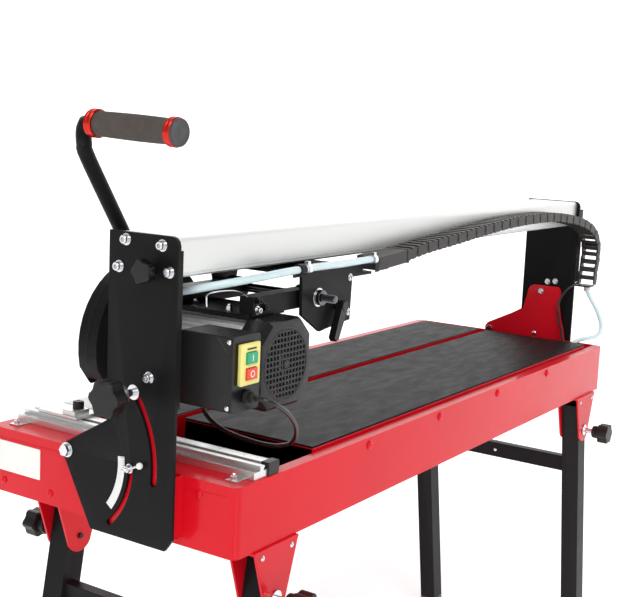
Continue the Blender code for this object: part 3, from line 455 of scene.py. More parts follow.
# ---- Tray and table ----
def tray():
    skin("water_tray", RED, 0.0022, 3, corner=0.014)
    for side, y, out in (("front", -0.0002, -1), ("rear", TRAY_WIDTH + 0.0002, 1)):
        spots = [(x, y, -0.014) for x in (0.389, 0.662, 0.935, 1.213)]
        screws(f"tray_{side}_screws", "frame", dome_screw, spots, (0, out, 0), 0.0085, 0.004, material=RED)
    ends = [(-0.0002, 0.073, -0.023), (-0.0002, 0.4, -0.094), (-0.0002, 0.515, -0.094)]
    screws("tray_near_screws", "frame", dome_screw, ends, (-1, 0, 0), 0.0065, 0.0034, material=RED)
    piece("blank_label_plate", LABEL, "frame",
          (prism, rounded((0.424, -0.076), (0.531, -0.022), 0.002), "x", -0.0011, -0.0002), edge=0.0002)
    piece("near_end_fold", RED, "frame",
          (block, (-0.0009, 0.02, -0.019), (0.001, TRAY_WIDTH - 0.02, -0.0165)), edge=0.0006)
    piece("drain_plug", PLASTIC, "frame",
          (turned, (0.18, 0.47, -0.1148), (0, 0, -1),
           [(0, 0), (0, 0.021), (0.004, 0.021), (0.005, 0.019), (0.005, 0.014), (0.016, 0.013),
            (0.017, 0.011), (0.017, 0)], 28))


def tables():
    for side in ("front", "rear"):
        skin(f"table_{side}", RED, 0.0016)
        skin(f"mat_{side}", MAT, 0.0009)
    piece("front_table_ledge", RED, "frame",
          (block, (0.247, 0.0222, -0.012), (1.534, 0.0276, -0.0045)), edge=0.0008)
    edge = bmesh.new()
    for low, high in ((0.3103, 0.3117), (0.3323, 0.3337)):
        block(edge, (0.248, low, -0.03), (1.534, high, 0.0062))
    show("cut_slot_edges", edge, RED, "frame", 0.0005)


def fence():
    rail = bmesh.new()
    near, far, top = 0.048, 0.108, 0.02
    prism(rail, [(near, 0.0003), (far, 0.0003), (far, 0.006), (far - 0.0018, 0.0068),
                 (far - 0.0018, 0.0125), (far, 0.0133), (far, top), (0.0866, top), (0.0866, 0.0172),
                 (0.0892, 0.015), (0.0892, 0.0122), (0.0728, 0.0122), (0.0728, 0.015), (0.0754, 0.0172),
                 (0.0754, top), (0.064, top), (0.064, 0.013), (0.06, 0.013), (0.0595, 0.0122),
                 (0.0585, 0.0122), (0.058, 0.013), (near, 0.013)], "y", 0.0043, TRAY_WIDTH - 0.0163)
    made = show("fence_rail_extrusion", rail, MILLED, "frame", 0.0004, crease=20)
    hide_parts("fence_rail")
    ticks = bmesh.new()
    for i in range(103):
        y = 0.012 + i * 0.005
        reach = 0.012 if i % 10 == 0 else 0.0085 if i % 5 == 0 else 0.0055
        block(ticks, (0.1065 - reach, y - 0.0003, top - 0.0001), (0.1065, y + 0.0003, top + 0.00012))
        block(ticks, (0.0492, y - 0.0003, 0.0129), (0.0492 + reach * 0.7, y + 0.0003, 0.01312))
    show("fence_graduations", ticks, PLASTIC, "frame")
    piece("rail_end_cap", PLASTIC, "frame",
          (block, (0.082, 0.001, 0.0004), (0.1105, 0.017, 0.0222)), edge=0.0012)
    screws("rail_nuts", "frame", hex_nut, [(0.03, 0.03, 0.0002), (0.03, 0.516, 0.0002)], (0, 0, 1), 0.01,
           0.0075, 0.004)
    tabs = bmesh.new()
    for y in (0.03, 0.516):
        block(tabs, (0.0215, y - 0.011, 0.0001), (0.0482, y + 0.011, 0.0022))
    show("rail_tabs", tabs, MILLED, "frame", 0.0006)
    skin("fence_stop", MILLED, 0.0008)
    # Thin white sheet on the stop's top: partly its own pale plate, partly a painted reflection of the bright
    # studio on the flat top seen at a grazing angle.
    piece("stop_top_plate_and_painted_reflection", WHITE, "fence_stop",
          (block, (0.1262, 0.407, 0.0255), (0.1882, 0.498, 0.0266)), edge=0.0004)
    knob = bmesh.new()
    teeth = [(0.092 + (0.0094 + 0.0006 * (i % 2)) * math.cos(math.pi * i / 24),
              0.427 + (0.0094 + 0.0006 * (i % 2)) * math.sin(math.pi * i / 24)) for i in range(48)]
    prism(knob, teeth, "z", 0.0331, 0.0466)
    turned(knob, (0.092, 0.427, 0.0285), (0, 0, 1),
           [(0, 0.0068), (0.0042, 0.0076), (0.0042, 0.002), (0, 0.002)], 28)
    turned(knob, (0.092, 0.427, 0.0466), (0, 0, 1), [(-0.001, 0.0084), (0.0009, 0.0078), (0.0009, 0.003),
                                                     (0.0002, 0.0024), (0.0002, 0)], 28)
    made = show("stop_thumb_knob", knob, GLOSSY, "fence_knob", 0.0003)
    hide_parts("fence_knob")
    piece("stop_thumb_screw", CHROME, "fence_knob",
          (turned, (0.092, 0.427, 0.0257), (0, 0, 1), [(0, 0), (0, 0.0029), (0.0046, 0.0029), (0.0046, 0)],
           16))


# ---- Bevel frame ----
def brackets():
    skin("tilt_bracket_near", RED, 0.0012)
    skin("tilt_bracket_far", RED, 0.0014, 3)
    screws("far_plate_nuts", "bridge", hex_nut,
           [(FAR_FACE - 0.0002, 0.165, 0.1545), (FAR_FACE - 0.0002, 0.143, 0.1575)], (-1, 0, 0), 0.01,
           0.008, 0.003)
    screws("far_lock_nut", "frame", hex_nut, [(1.5824, 0.1787, 0.1272)], (-1, 0, 0), 0.01, 0.008)
    screws("far_bracket_foot_screw", "frame", dome_screw, [(1.5824, 0.19, 0.01)], (-1, 0, 0), 0.006, 0.0034)


def plates():
    for node in ("near_end_plate", "far_end_plate"):
        skin(node, BLACK, 0.0016, 3)
    near_bolts = [(NEAR_FACE, 0.2, 0.364), (NEAR_FACE, 0.127, 0.361), (NEAR_FACE, 0.214, 0.321),
                  (NEAR_FACE, 0.112, 0.322), (NEAR_FACE, 0.148, 0.155)]
    screws("near_plate_screws", "bridge", cap_screw, near_bolts, (-1, 0, 0), 0.0066, 0.0098)
    far_bolts = [(FAR_OUTSIDE, y, h) for _, y, h in near_bolts[:4]]
    screws("far_plate_screws", "bridge", cap_screw, far_bolts, (1, 0, 0), 0.0066, 0.0098)
    for side, out in (("near", -1), ("far", 1)):
        skin(f"pivot_bolt_{side}", CHROME, 0.0006)
        start = NEAR_FACE if side == "near" else FAR_OUTSIDE
        nut = bmesh.new()
        turned(nut, (start, PIVOT_Y, PIVOT_H), (out, 0, 0),
               [(0.0002, 0.0052), (0.0002, 0.0126), (0.0018, 0.0126), (0.002, 0.0052)], 32)
        hexagon = circle((0, 0), 0.0098, 6)
        extrude(nut, hexagon, aim((start, PIVOT_Y, PIVOT_H), (out, 0, 0)), 0.0021, 0.0098)
        show(f"{side}_pivot_nut", nut, CHROME, "bridge", 0.0005)
    outer, inner = (arc((PIVOT_Y, PIVOT_H), radius, 174, 218, 29) for radius in (0.1275, 0.1135))
    piece("bevel_scale", MILLED, "bridge",
          (prism, outer + inner[::-1], "x", NEAR_FACE - 0.0014, NEAR_FACE - 0.0002), edge=0.0003)
    marks = bmesh.new()
    for i in range(23):
        a = math.radians(-4 + 40 * i / 22)
        reach = 0.0065 if i % 5 == 0 else 0.0036
        middle = 0.1268 - reach / 2
        place = BENCH @ Matrix.Translation((NEAR_FACE - 0.00145, PIVOT_Y, PIVOT_H))
        place @= Matrix.Rotation(-a, 4, "X") @ Matrix.Translation((0, -middle, 0))
        place @= Matrix.Diagonal((0.00016, reach, 0.0007, 1))
        bmesh.ops.create_cube(marks, size=1.0, matrix=place)
    show("bevel_scale_marks", marks, PLASTIC, "bridge")
    piece("pointer_bolt", CHROME, "frame",
          (hex_nut, (NEAR_FACE - 0.0016, 0.183, 0.004), (-1, 0, 0), 0.01, 0.0085, 0.0035, 1.3),
          (turned, (NEAR_FACE - 0.006, 0.181, 0.0048), (0, -1, 0.4),
           [(0, 0), (0, 0.0024), (0.019, 0.002), (0.019, 0)], 16))
    piece("pointer_shank", CHROME, "frame",
          (turned, (-0.028, 0.183, 0.004), (-1, 0, 0), [(0, 0), (0, 0.004), (0.0104, 0.004), (0.0104, 0)],
           16))
    piece("pointer_ball", WHITE, "frame",
          (turned, (NEAR_FACE - 0.006, 0.164, 0.0116), (0, -1, 0.4),
           [(0.0055 * (1 - math.cos(math.pi * i / 10)), 0.0055 * math.sin(math.pi * i / 10))
            for i in range(11)], 20))


def knobs():
    stars = ["bevel_knob_near", "bevel_knob_far"]
    stars += [f"leg_knob_{end}_{row}" for end in ("near", "far") for row in ("front", "rear")]
    for node in stars:
        skin(node, PLASTIC, 0.0022, 3)
    skin("transport_knob", GLOSSY, 0.0016, 3)
    lock_y = PIVOT_Y - LOCK_RADIUS * math.cos(math.radians(LOCK_ANGLE))
    lock_h = PIVOT_H + LOCK_RADIUS * math.sin(math.radians(LOCK_ANGLE))
    for side, start, out in (("near", NEAR_FACE, -1), ("far", FAR_OUTSIDE, 1)):
        body = f"bevel_knob_{side}"
        piece(f"{body}_stud", CHROME, body,
              (turned, (start, lock_y, lock_h), (out, 0, 0),
               [(0.0003, 0.0051), (0.0003, 0.012), (0.002, 0.012), (0.002, 0.006), (0.0255, 0.006),
                (0.0255, 0.0051)], 28))
        piece(f"{body}_ferrule", MILLED, body,
              (turned, (start, lock_y, lock_h), (out, 0, 0),
               [(0.029, 0.0163), (0.029, 0.0174), (0.03, 0.018), (0.04, 0.018), (0.041, 0.0174),
                (0.041, 0.0163)], 36))
    for end, x, _ in LEG_ENDS:
        for row, y, out in LEG_ROWS:
            seat = y + out * 0.0282
            piece(f"leg_stud_{end}_{row}", CHROME, f"leg_knob_{end}_{row}",
                  (turned, (x, seat, FOLD_H), (0, out, 0),
                   [(0.0003, 0.005), (0.0003, 0.014), (0.0022, 0.014), (0.0022, 0.0062), (0.0236, 0.0062),
                    (0.0236, 0.005)], 28))


def beam():
    front, rear, low, high, wall, r = 0.099, 0.226, 0.314, 0.3745, 0.005, 0.0075
    middle, half = (front + rear) / 2, 0.0255
    outline = [(middle + half, low), (rear - 0.003, low), (rear, low + 0.003)]
    outline += arc((rear - r, high - r), r, 0, 90, 6) + arc((front + r, high - r), r, 90, 180, 6)
    outline += [(front, low + 0.0075), (front + 0.0012, low + 0.0068), (front + 0.0012, low + 0.0054),
                (front, low + 0.0047), (front, low + 0.003), (front + 0.003, low), (middle - half, low),
                (middle - half, low + wall), (front + wall, low + wall), (front + wall, high - wall),
                (rear - wall, high - wall), (rear - wall, low + wall), (middle + half, low + wall)]
    made = piece("beam_extrusion", BEAM, "bridge",
                 (prism, outline, "x", NEAR_FACE + 0.0063, FAR_FACE - 0.0003), crease=25)
    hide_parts("guide_beam")


# ---- Drag chain ----
CHAIN_LINE = [(0.57, 0.31), (0.658, 0.32), (0.781, 0.329), (0.915, 0.34), (1.064, 0.3495), (1.23, 0.3525),
              (1.338, 0.349), (1.47, 0.334), (1.565, 0.311), (1.614, 0.282), (1.6315, 0.25), (1.629, 0.22),
              (1.62, 0.185), (1.618, 0.159)]
CHAIN_FRONT, CHAIN_REAR, CHAIN_ANCHOR_X = 0.042, 0.088, 1.618


def chain():
    dense = smooth_route([(x, h, 0.0) for x, h in CHAIN_LINE], 0.003)
    pitch, spots, walked = 0.0215, [dense[0]], 0.0
    for before, after in zip(dense, dense[1:]):
        walked += (after - before).length
        if walked >= pitch:
            spots.append(after)
            walked -= pitch
    bm = bmesh.new()
    for index, (start, end) in enumerate(zip(spots, spots[1:])):
        along = (end - start).normalized()
        up = Vector((-along.y, along.x, 0))
        turn = Matrix(((along.x, up.x, 0), (0, 0, 1), (along.y, up.y, 0))).to_4x4()
        middle = (start + end) / 2
        place = BENCH @ Matrix.Translation((middle.x, 0, middle.y)) @ turn
        half, tall, inset = (end - start).length / 2, 0.0108, 0.0009 * (index % 2)
        waist = half * 0.35
        side = [(-half - 0.0045, -tall * 0.55), (-half, -tall), (-waist, -tall), (waist, -tall * 0.84),
                (half + 0.001, -tall * 0.84), (half + 0.0055, -tall * 0.4), (half + 0.0055, tall * 0.4),
                (half + 0.001, tall * 0.84), (waist, tall * 0.84), (-waist, tall), (-half, tall),
                (-half - 0.0045, tall * 0.55)]
        extrude(bm, side, place, CHAIN_FRONT + inset, CHAIN_FRONT + 0.004 + inset)
        extrude(bm, side, place, CHAIN_REAR - 0.004 - inset, CHAIN_REAR - inset)
        for level in (tall - 0.0026, -tall):
            bar = [(-0.0058, level), (0.0048, level), (0.0048, level + 0.0026), (-0.0058, level + 0.0026)]
            extrude(bm, bar, place, CHAIN_FRONT + 0.003, CHAIN_REAR - 0.003)
        for outside in (CHAIN_FRONT - 0.0006 + inset, CHAIN_REAR - 0.0003 - inset):
            extrude(bm, circle((-half, 0), 0.0042, 12), place, outside, outside + 0.0009)
    prism(bm, [(0.462, 0.2905), (0.496, 0.2915), (0.4965, 0.3175), (0.462, 0.315)], "y",
          CHAIN_FRONT - 0.0012, CHAIN_REAR + 0.0012)
    prism(bm, [(0.4955, 0.2925), (0.576, 0.298), (0.575, 0.3225), (0.4955, 0.3165)], "y",
          CHAIN_FRONT - 0.0004, CHAIN_REAR + 0.0004)
    prism(bm, [(0.569, 0.2965), (0.5745, 0.297), (0.573, 0.3232), (0.568, 0.3228)], "y",
          CHAIN_FRONT - 0.0014, CHAIN_REAR + 0.0014)
    for x in (0.47, 0.49):
        prism(bm, circle((x, 0.303), 0.0036, 12), "y", CHAIN_FRONT - 0.0016, CHAIN_FRONT)
    made = show("drag_chain_links", bm, LINK, "bridge", crease=25)
    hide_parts("drag_chain")
    end = CHAIN_LINE[-1][0] - 0.462
    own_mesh(made)


# ---- Carriage ----
def carriage():
    skin("carriage", BLACK, 0.0014, 3)
    skin("plunge_rod", DARK_ROD, 0.0008)
    for name in ("wheel_set_near", "wheel_set_far"):
        skin(name, PLASTIC, 0.0005)
    skin("clamp_lever", GLOSSY, 0.0016, 3)
    piece("rod_nut_and_washer", CHROME, "carriage",
          (turned, (0.285, 0.0557, 0.258), (0, -1, 0),
           [(0, 0.0082), (0, 0.0165), (0.002, 0.0165), (0.0022, 0.0128), (0.006, 0.0128), (0.0066, 0.012),
            (0.0066, 0.0082)], 32), edge=0.0005)
    thread = bmesh.new()
    ridges = [(0.0002, 0.005)]
    for i in range(20):
        ridges += [(0.0008 + i * 0.0014, 0.007), (0.0015 + i * 0.0014, 0.0059)]
    turned(thread, (0.285, 0.048, 0.258), (0, -1, 0), [(0, 0)] + ridges + [(0.03, 0)], 20)
    show("rod_thread", thread, DARK_ROD, "carriage")
    turn_screws = [(0.386, 0.0558, 0.284), (0.384, 0.0558, 0.222)]
    screws("cheek_screws", "carriage", cap_screw, turn_screws, (0, -1, 0), 0.0046, 0.0034)
    screws("chain_arm_screws", "carriage", dome_screw, [(0.43, 0.066, 0.2886), (0.45, 0.066, 0.2886)],
           (0, 0, 1), 0.004, 0.0026)
    piece("hose_wire_hook", CHROME, "head",
          (swept, smooth_route([(0.12, 0.078, 0.266), (0.1, 0.07, 0.276), (0.06, 0.06, 0.29),
                                (0.01, 0.055, 0.295), (-0.016, 0.055, 0.293), (-0.019, 0.055, 0.285),
                                (-0.018, 0.055, 0.275)], 0.003), 0.0011, 8))
    clip = bmesh.new()
    for x in (0.236, 0.45):
        turned(clip, (x - 0.006, 0.0462, 0.3122), (1, 0, 0),
               [(0, 0.0067), (0, 0.0086), (0.01, 0.0086), (0.01, 0.0067)], 24)
        block(clip, (x - 0.005, 0.0425, 0.3195), (x + 0.003, 0.05, 0.325))
    show("hose_clamps", clip, CHROME, "carriage", 0.0004)
    piece("hose_saddle", BLACK, "carriage",
          (block, (0.206, 0.052, 0.2985), (0.266, 0.0557, 0.3055)),
          (turned, (0.206, 0.046, 0.3123), (1, 0, 0),
           [(0, 0.0067), (0, 0.0095), (0.016, 0.0095), (0.016, 0.0067)], 24),
          (block, (0.448, 0.0405, 0.289), (0.462, 0.0415, 0.306)), edge=0.0004)


# ---- Saw head ----
def motor():
    axis = (MOTOR_X, 0.0, MOTOR_H)
    body = bmesh.new()
    outline = []
    fins, base, crest = 44, 0.0605, 0.068
    for i in range(fins):
        for offset, radius in ((-0.5, base), (-0.26, base), (-0.16, crest), (0.16, crest), (0.26, base)):
            outline.append(around(radius, 360 * (i + offset) / fins))
    pierced(body, outline, [circle(MOTOR, 0.0432, 40)], "y", 0.085, 0.225)
    made = show("motor_finned_body", body, CAST, "head", crease=20)
    bands = bmesh.new()
    for low, high, radius in ((0.0687, 0.085, 0.0675), (0.225, 0.235, 0.0675)):
        turned(bands, axis, (0, 1, 0), [(low, 0.0432), (low, radius - 0.001), (low + 0.001, radius),
                                        (high - 0.001, radius), (high, radius - 0.001), (high, 0.0432)], 56)
    turned(bands, axis, (0, 1, 0), [(0.0687, 0.0136), (0.0687, 0.044), (0.0765, 0.044), (0.0765, 0.0136)], 40)
    turned(bands, (MOTOR_X, 0.19, MOTOR_H - 0.06), (0, 0, -1),
           [(0, 0), (0, 0.0125), (0.01, 0.0125), (0.0105, 0.0092), (0.0205, 0.009), (0.0218, 0.007),
            (0.0218, 0)], 24)
    show("motor_end_bands", bands, CAST, "head")
    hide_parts("motor_housing")
    piece("stator_windings", COPPER, "head",
          (turned, axis, (0, 1, 0), [(0.08, 0.0402), (0.08, 0.043), (0.22, 0.043), (0.22, 0.0402)], 40))
    skin("end_shield", CAST, 0.0012)
    ties = [(x, 0.247, h) for x, h in arc(MOTOR, 0.058, 45, 315, 4)]
    screws("motor_tie_screws", "head", cap_screw, ties, (0, 1, 0), 0.0038, 0.0075)
    skin("head_arm", BLACK, 0.0016, 3)
    screws("head_arm_screws", "head", cap_screw, [(0.128, 0.0688, 0.2515)], (0, -1, 0), 0.005, 0.008)
    screws("head_arm_black_screws", "head", cap_screw, [(0.128, 0.0688, 0.266), (0.146, 0.0688, 0.255)],
           (0, -1, 0), 0.0046, 0.0075, material=GLOSSY, slot="black_paint")
    screws("head_arm_top_screws", "head", hex_nut, [(0.12, 0.12, 0.2456), (0.12, 0.19, 0.2456)], (0, 0, 1),
           0.01, 0.008, 0.003)
    skin("motor_shaft", STEEL, 0.0006)
    skin("cooling_fan", PLASTIC, 0.0004)


def fan_cover():
    half, corner, face_y = 0.072, 0.03, 0.02

    def octagon(size, chamfer):
        turns = [(-size, -size + chamfer), (-size + chamfer, -size), (size - chamfer, -size),
                 (size, -size + chamfer), (size, size - chamfer), (size - chamfer, size),
                 (-size + chamfer, size), (-size, size - chamfer)]
        return [(MOTOR_X + across, MOTOR_H + up) for across, up in turns]

    shell = bmesh.new()
    hole = circle(MOTOR, 0.0575, 56)
    levels = [(0.0682, 0.0), (0.03, 0.0), (0.0236, 0.0022), (0.0206, 0.0065), (face_y, 0.011)]

    def ring_at(y, outline):
        return [shell.verts.new(at(x, y, h)) for x, h in outline]

    rings = [ring_at(y, octagon(half - inset, corner - inset * 0.45)) for y, inset in levels]
    inner, deep = ring_at(face_y, hole), ring_at(face_y + 0.0042, hole)
    back = ring_at(face_y + 0.0048, octagon(half - 0.0125, corner - 0.0055))
    open_end = ring_at(0.0682, octagon(half - 0.0028, corner - 0.0012))
    for low, high in [*zip(rings, rings[1:]), (rings[0], open_end), (open_end, back), (inner, deep)]:
        loft(shell, low, high)
    for outer, hollow in ((rings[-1], inner), (back, deep)):
        edges = [shell.edges.get((ring[i], ring[(i + 1) % len(ring)])) for ring in (outer, hollow)
                 for i in range(len(ring))]
        bmesh.ops.triangle_fill(shell, use_beauty=True, edges=[edge for edge in edges if edge])
    made = show("fan_cover_shell", shell, GLOSSY, "head", crease=24)
    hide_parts("fan_cover")
    grid = bmesh.new()
    radius, half_bar = 0.0578, 0.0015
    for i in range(-6, 7):
        offset = i * 0.009
        reach = math.sqrt(radius ** 2 - offset ** 2)
        block(grid, (MOTOR_X - reach, face_y - 0.0002, MOTOR_H + offset - half_bar),
              (MOTOR_X + reach, face_y + 0.002, MOTOR_H + offset + half_bar))
        block(grid, (MOTOR_X + offset - half_bar, face_y + 0.0002, MOTOR_H - reach),
              (MOTOR_X + offset + half_bar, face_y + 0.0026, MOTOR_H + reach))
    turned(grid, (MOTOR_X, face_y + 0.003, MOTOR_H), (0, -1, 0),
           [(0, 0.0565), (0, 0.0588), (0.003, 0.06), (0.004, 0.0592), (0.004, 0.0572), (0.003, 0.0565)], 56)
    turned(grid, (MOTOR_X, face_y + 0.003, MOTOR_H), (0, -1, 0),
           [(0, 0), (0, 0.007), (0.0038, 0.007), (0.0046, 0.006), (0.0046, 0)], 28)
    show("fan_grille", grid, PLASTIC, "head")
    screws("fan_cover_screws", "head", dome_screw,
           [(MOTOR_X + 0.0625 * a, face_y + 0.0065, MOTOR_H + 0.04 * b) for a in (-1, 1) for b in (-1, 1)],
           (0, -1, 0), 0.0036, 0.0024, material=GLOSSY)


def switch_gear():
    skin("switch_box", PLASTIC, 0.0045, 4)
    piece("switch_lid_seam", GLOSSY, "head",
          (prism, rounded((0.003, 0.111), (0.0732, 0.23), 0.007), "y", 0.0195, 0.0215), edge=0.0006)
    ribs = bmesh.new()
    for start, end in (((0.0305, 0.204), (0.05, 0.2265)), ((0.0305, 0.204), (0.0305, 0.14)),
                       ((0.0305, 0.14), (0.05, 0.116))):
        along = Vector((0, end[0] - start[0], end[1] - start[1]))
        turned(ribs, (0.0042, *start), along,
               [(0, 0), (0, 0.0012), (along.length, 0.0012), (along.length, 0)], 10)
    show("switch_box_ribs", ribs, PLASTIC, "head")
    screws("switch_lid_screws", "head", dome_screw, [(0.0036, 0.027, 0.2215), (0.0036, 0.028, 0.1195)],
           (-1, 0, 0), 0.0042, 0.0028)
    skin("switch_plate", YELLOW, 0.0008, 3)
    piece("switch_plate_flange", YELLOW, "head",
          (pierced, rounded((0.0152, 0.1532), (0.0638, 0.2182), 0.003),
           [rounded((0.024, 0.159), (0.057, 0.207), 0.002)], "y", 0.0128, 0.0168), edge=0.0008)
    for node, material in (("start_button", GREEN), ("stop_button", STOP)):
        skin(node, material, 0.0011, 3)
    piece("start_mark", WHITE, "start_button",
          (block, (0.0396, 0.00828, 0.1905), (0.0414, 0.00852, 0.2)), slot="yellow_plastic")
    piece("stop_mark", WHITE, "stop_button",
          (turned, (0.0405, 0.0085, 0.17075), (0, -1, 0),
           [(0, 0.0038), (0, 0.0053), (0.0002, 0.0053), (0.0002, 0.0038)], 28), slot="yellow_plastic")
    piece("switch_vent", PLASTIC, "head", (block, (0.029, 0.0112, 0.2085), (0.052, 0.0119, 0.211)))


def guard_and_blade():
    skin("blade_guard", BLACK, 0.0032, 4)
    front = PIVOT_Y - GUARD_FACE
    outer, inner = (arc(MOTOR, radius, -32, 190, 61) for radius in (0.1408, 0.1396))
    piece("guard_seam", BLACK, "head",
          (prism, outer + inner[::-1], "y", PIVOT_Y - 0.0012, PIVOT_Y + 0.0012))
    spots = [(x, PIVOT_Y + GUARD_FACE + 0.0001, h)
             for x, h in arc(MOTOR, 0.115, 15, 165, 3) + arc(MOTOR, 0.045, 45, 315, 4)]
    screws("guard_screws", "head", dome_screw, spots, (0, 1, 0), 0.005, 0.003)
    piece("guard_hub_cover", BLACK, "head",
          (turned, (MOTOR_X, PIVOT_Y + GUARD_FACE + 0.0002, MOTOR_H), (0, 1, 0),
           [(0, 0), (0, 0.06), (0.003, 0.06), (0.0042, 0.057), (0.0042, 0.03), (0.006, 0.027), (0.006, 0)],
           48))
    piece("splash_flap", RUBBER, "head",
          (block, (0.252, front + 0.004, 0.08),
           (0.2545, PIVOT_Y + 0.017, 0.1)), edge=0.0006, slot="mat_rubber")
    skin("water_valve", CHROME, 0.0005)
    piece("valve_tap", STOP, "head",
          (turned, (0.068, front - 0.013, 0.255), (-0.3, 0, 1),
           [(0.008, 0), (0.008, 0.0038), (0.017, 0.0038), (0.018, 0.003), (0.018, 0)], 16),
          (block, (0.058, front - 0.0165, 0.272), (0.069, front - 0.0095, 0.2752)), edge=0.0008)
    disc = bmesh.new()
    rim_radius, root = 0.1215, 0.112
    outline, slots = [], 18
    for i in range(slots):
        for offset, radius in ((0.018, root), (0.03, rim_radius), (0.3, rim_radius), (0.6, rim_radius),
                               (0.97, rim_radius), (0.982, root)):
            outline.append(around(radius, 360 * (i + offset) / slots))
    holes = [circle(MOTOR, 0.0126, 40)] + [circle(around(0.075, 60 * i), 0.005, 16) for i in range(6)]
    pierced(disc, outline, holes, "y", PIVOT_Y - 0.0008, PIVOT_Y + 0.0008)
    made = show("blade_disc", disc, STEEL, "spindle", crease=20)
    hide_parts("saw_blade")
    teeth = bmesh.new()
    for i in range(slots):
        first, last = (360 * (i + part) / slots for part in (0.035, 0.965))
        inner, outer = (arc(MOTOR, radius, first, last, 6) for radius in (0.121, 0.127))
        prism(teeth, inner + outer[::-1], "y", PIVOT_Y - 0.0012, PIVOT_Y + 0.0012)
    show("diamond_segments", teeth, GRIT, "spindle")
    skin("inner_flange", CHROME, 0.0006)
    skin("flange_nut", CHROME, 0.0006)


def handle():
    tube_route = [(0.112, 0.258, 0.224), (0.101, 0.258, 0.2405), (0.09, 0.258, 0.257), (0.013, 0.258, 0.371),
                  (-0.064, 0.258, 0.485), (-0.072, 0.258, 0.505), (-0.0748, 0.257, 0.524),
                  (-0.0755, 0.253, 0.534), (-0.0758, 0.245, 0.5384), (-0.0765, 0.19, 0.536),
                  (-0.0778, 0.095, 0.5317)]
    made = piece("handle_bent_tube", BLACK, "head",
                 (swept, smooth_route(tube_route, 0.006), 0.0122, 28), crease=40)
    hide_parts("handle_tube")
    piece("handle_clamp", BLACK, "head", (block, (0.09, 0.2435, 0.22), (0.13, 0.2475, 0.262)), edge=0.0012)
    along = Vector((-0.0022, -0.165, -0.00748)).normalized()
    start = (-0.0759, 0.2375, 0.53814)
    grip = bmesh.new()
    profile = [(0.016, 0.0134), (0.016, 0.0192), (0.0175, 0.02)]
    ribs = 44
    for i in range(ribs):
        s = 0.0185 + 0.1345 * i / ribs
        swell = 0.019 + 0.0008 * math.sin(math.pi * i / ribs)
        profile += [(s, swell - 0.0007), (s + 0.001, swell), (s + 0.0021, swell)]
    profile += [(0.1545, 0.0196), (0.156, 0.02), (0.1575, 0.0192), (0.1575, 0.0134)]
    turned(grip, start, along, profile, 40)
    made = show("grip_sleeve", grip, GRIP, "head", crease=50)
    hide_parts("handle_grip")
    rings = bmesh.new()
    for low, high in ((0.001, 0.015), (0.1582, 0.17)):
        middle = (low + high) / 2
        turned(rings, start, along,
               [(low, 0.0134), (low, 0.0206), (low + 0.0014, 0.022), (middle - 0.0018, 0.022),
                (middle - 0.001, 0.0212), (middle + 0.001, 0.0212), (middle + 0.0018, 0.022),
                (high - 0.0014, 0.022), (high, 0.0206), (high, 0.0134)], 48)
    show("grip_rings", rings, ANODISED, "head")
    piece("grip_end_cap", CAP_GREY, "head",
          (turned, start, along, [(0.169, 0), (0.169, 0.0205), (0.1738, 0.0205), (0.1752, 0.0192),
                                  (0.1746, 0.0172), (0.1746, 0.006), (0.175, 0.004), (0.175, 0)], 48))


# ---- Stand ----
def stand():
    half, slope = 0.0236, math.tan(math.radians(10))
    for end, x, lean in LEG_ENDS:
        for row, y, out in LEG_ROWS:
            skin(f"leg_bracket_{end}_{row}", RED, 0.0014, 3)
            skin(f"leg_{end}_{row}", BLACK, 0.003, 3)
            foot = bmesh.new()
            level = [(x + lean * slope * (FOLD_H - h), h) for h in (FLOOR_H, FLOOR_H + 0.03)]
            rings = [[foot.verts.new(at(cx + u * half * 1.015, y + v * half, h))
                      for u, v in rounded((-1, -1), (1, 1), 0.18, 4)] for cx, h in level]
            foot.faces.new(rings[0])
            foot.faces.new(rings[1][::-1])
            loft(foot, *rings)
            show(f"foot_{end}_{row}", foot, RUBBER, f"leg_frame_{end}", 0.0012)
            screws(f"bracket_rivets_{end}_{row}", "frame", dome_screw,
                   [(x + dx, y + out * 0.0275, -0.128) for dx in (-0.04, 0.04)], (0, out, 0), 0.0048,
                   0.0028)
        skin(f"crossbar_{end}", BLACK, 0.002, 3)
        bar_x = x + lean * 0.01816 - 0.0121
        screws(f"crossbar_screws_{end}", f"leg_frame_{end}", dome_screw,
               [(bar_x, 0.241, -0.31)], (-1, 0, 0), 0.0046, 0.0028)
    skin("water_pump", PLASTIC, 0.0016)
    vents = bmesh.new()
    for i in range(9):
        block(vents, (1.413, 0.106 + i * 0.006, -0.108), (1.4152, 0.1085 + i * 0.006, -0.084))
    show("pump_inlet_bars", vents, GLOSSY, "frame")


# ---- Cords ----
POWER_CABLE = [(0.04, 0.0017, 0.134), (0.041, -0.014, 0.133), (0.052, -0.024, 0.1275),
               (0.075, -0.026, 0.115), (0.1, -0.024, 0.098), (0.124, -0.018, 0.077), (0.143, -0.006, 0.055),
               (0.156, 0.012, 0.037), (0.161, 0.038, 0.026), (0.16, 0.07, 0.023), (0.156, 0.102, 0.026),
               (0.152, 0.132, 0.031), (0.149, 0.158, 0.04), (0.146, 0.177, 0.053), (0.145, 0.188, 0.068),
               (0.145, 0.19, 0.085)]
WATER_HOSE = [(0.461, 0.049, 0.312), (0.42, 0.047, 0.3125), (0.34, 0.046, 0.312), (0.26, 0.0455, 0.313),
              (0.18, 0.046, 0.312), (0.12, 0.05, 0.309), (0.075, 0.062, 0.3045), (0.041, 0.085, 0.298),
              (0.022, 0.115, 0.29), (0.014, 0.15, 0.281), (0.016, 0.185, 0.273), (0.03, 0.215, 0.265),
              (0.05, 0.24, 0.2585), (0.0625, 0.256, 0.2553), (0.066, 0.272, 0.255)]
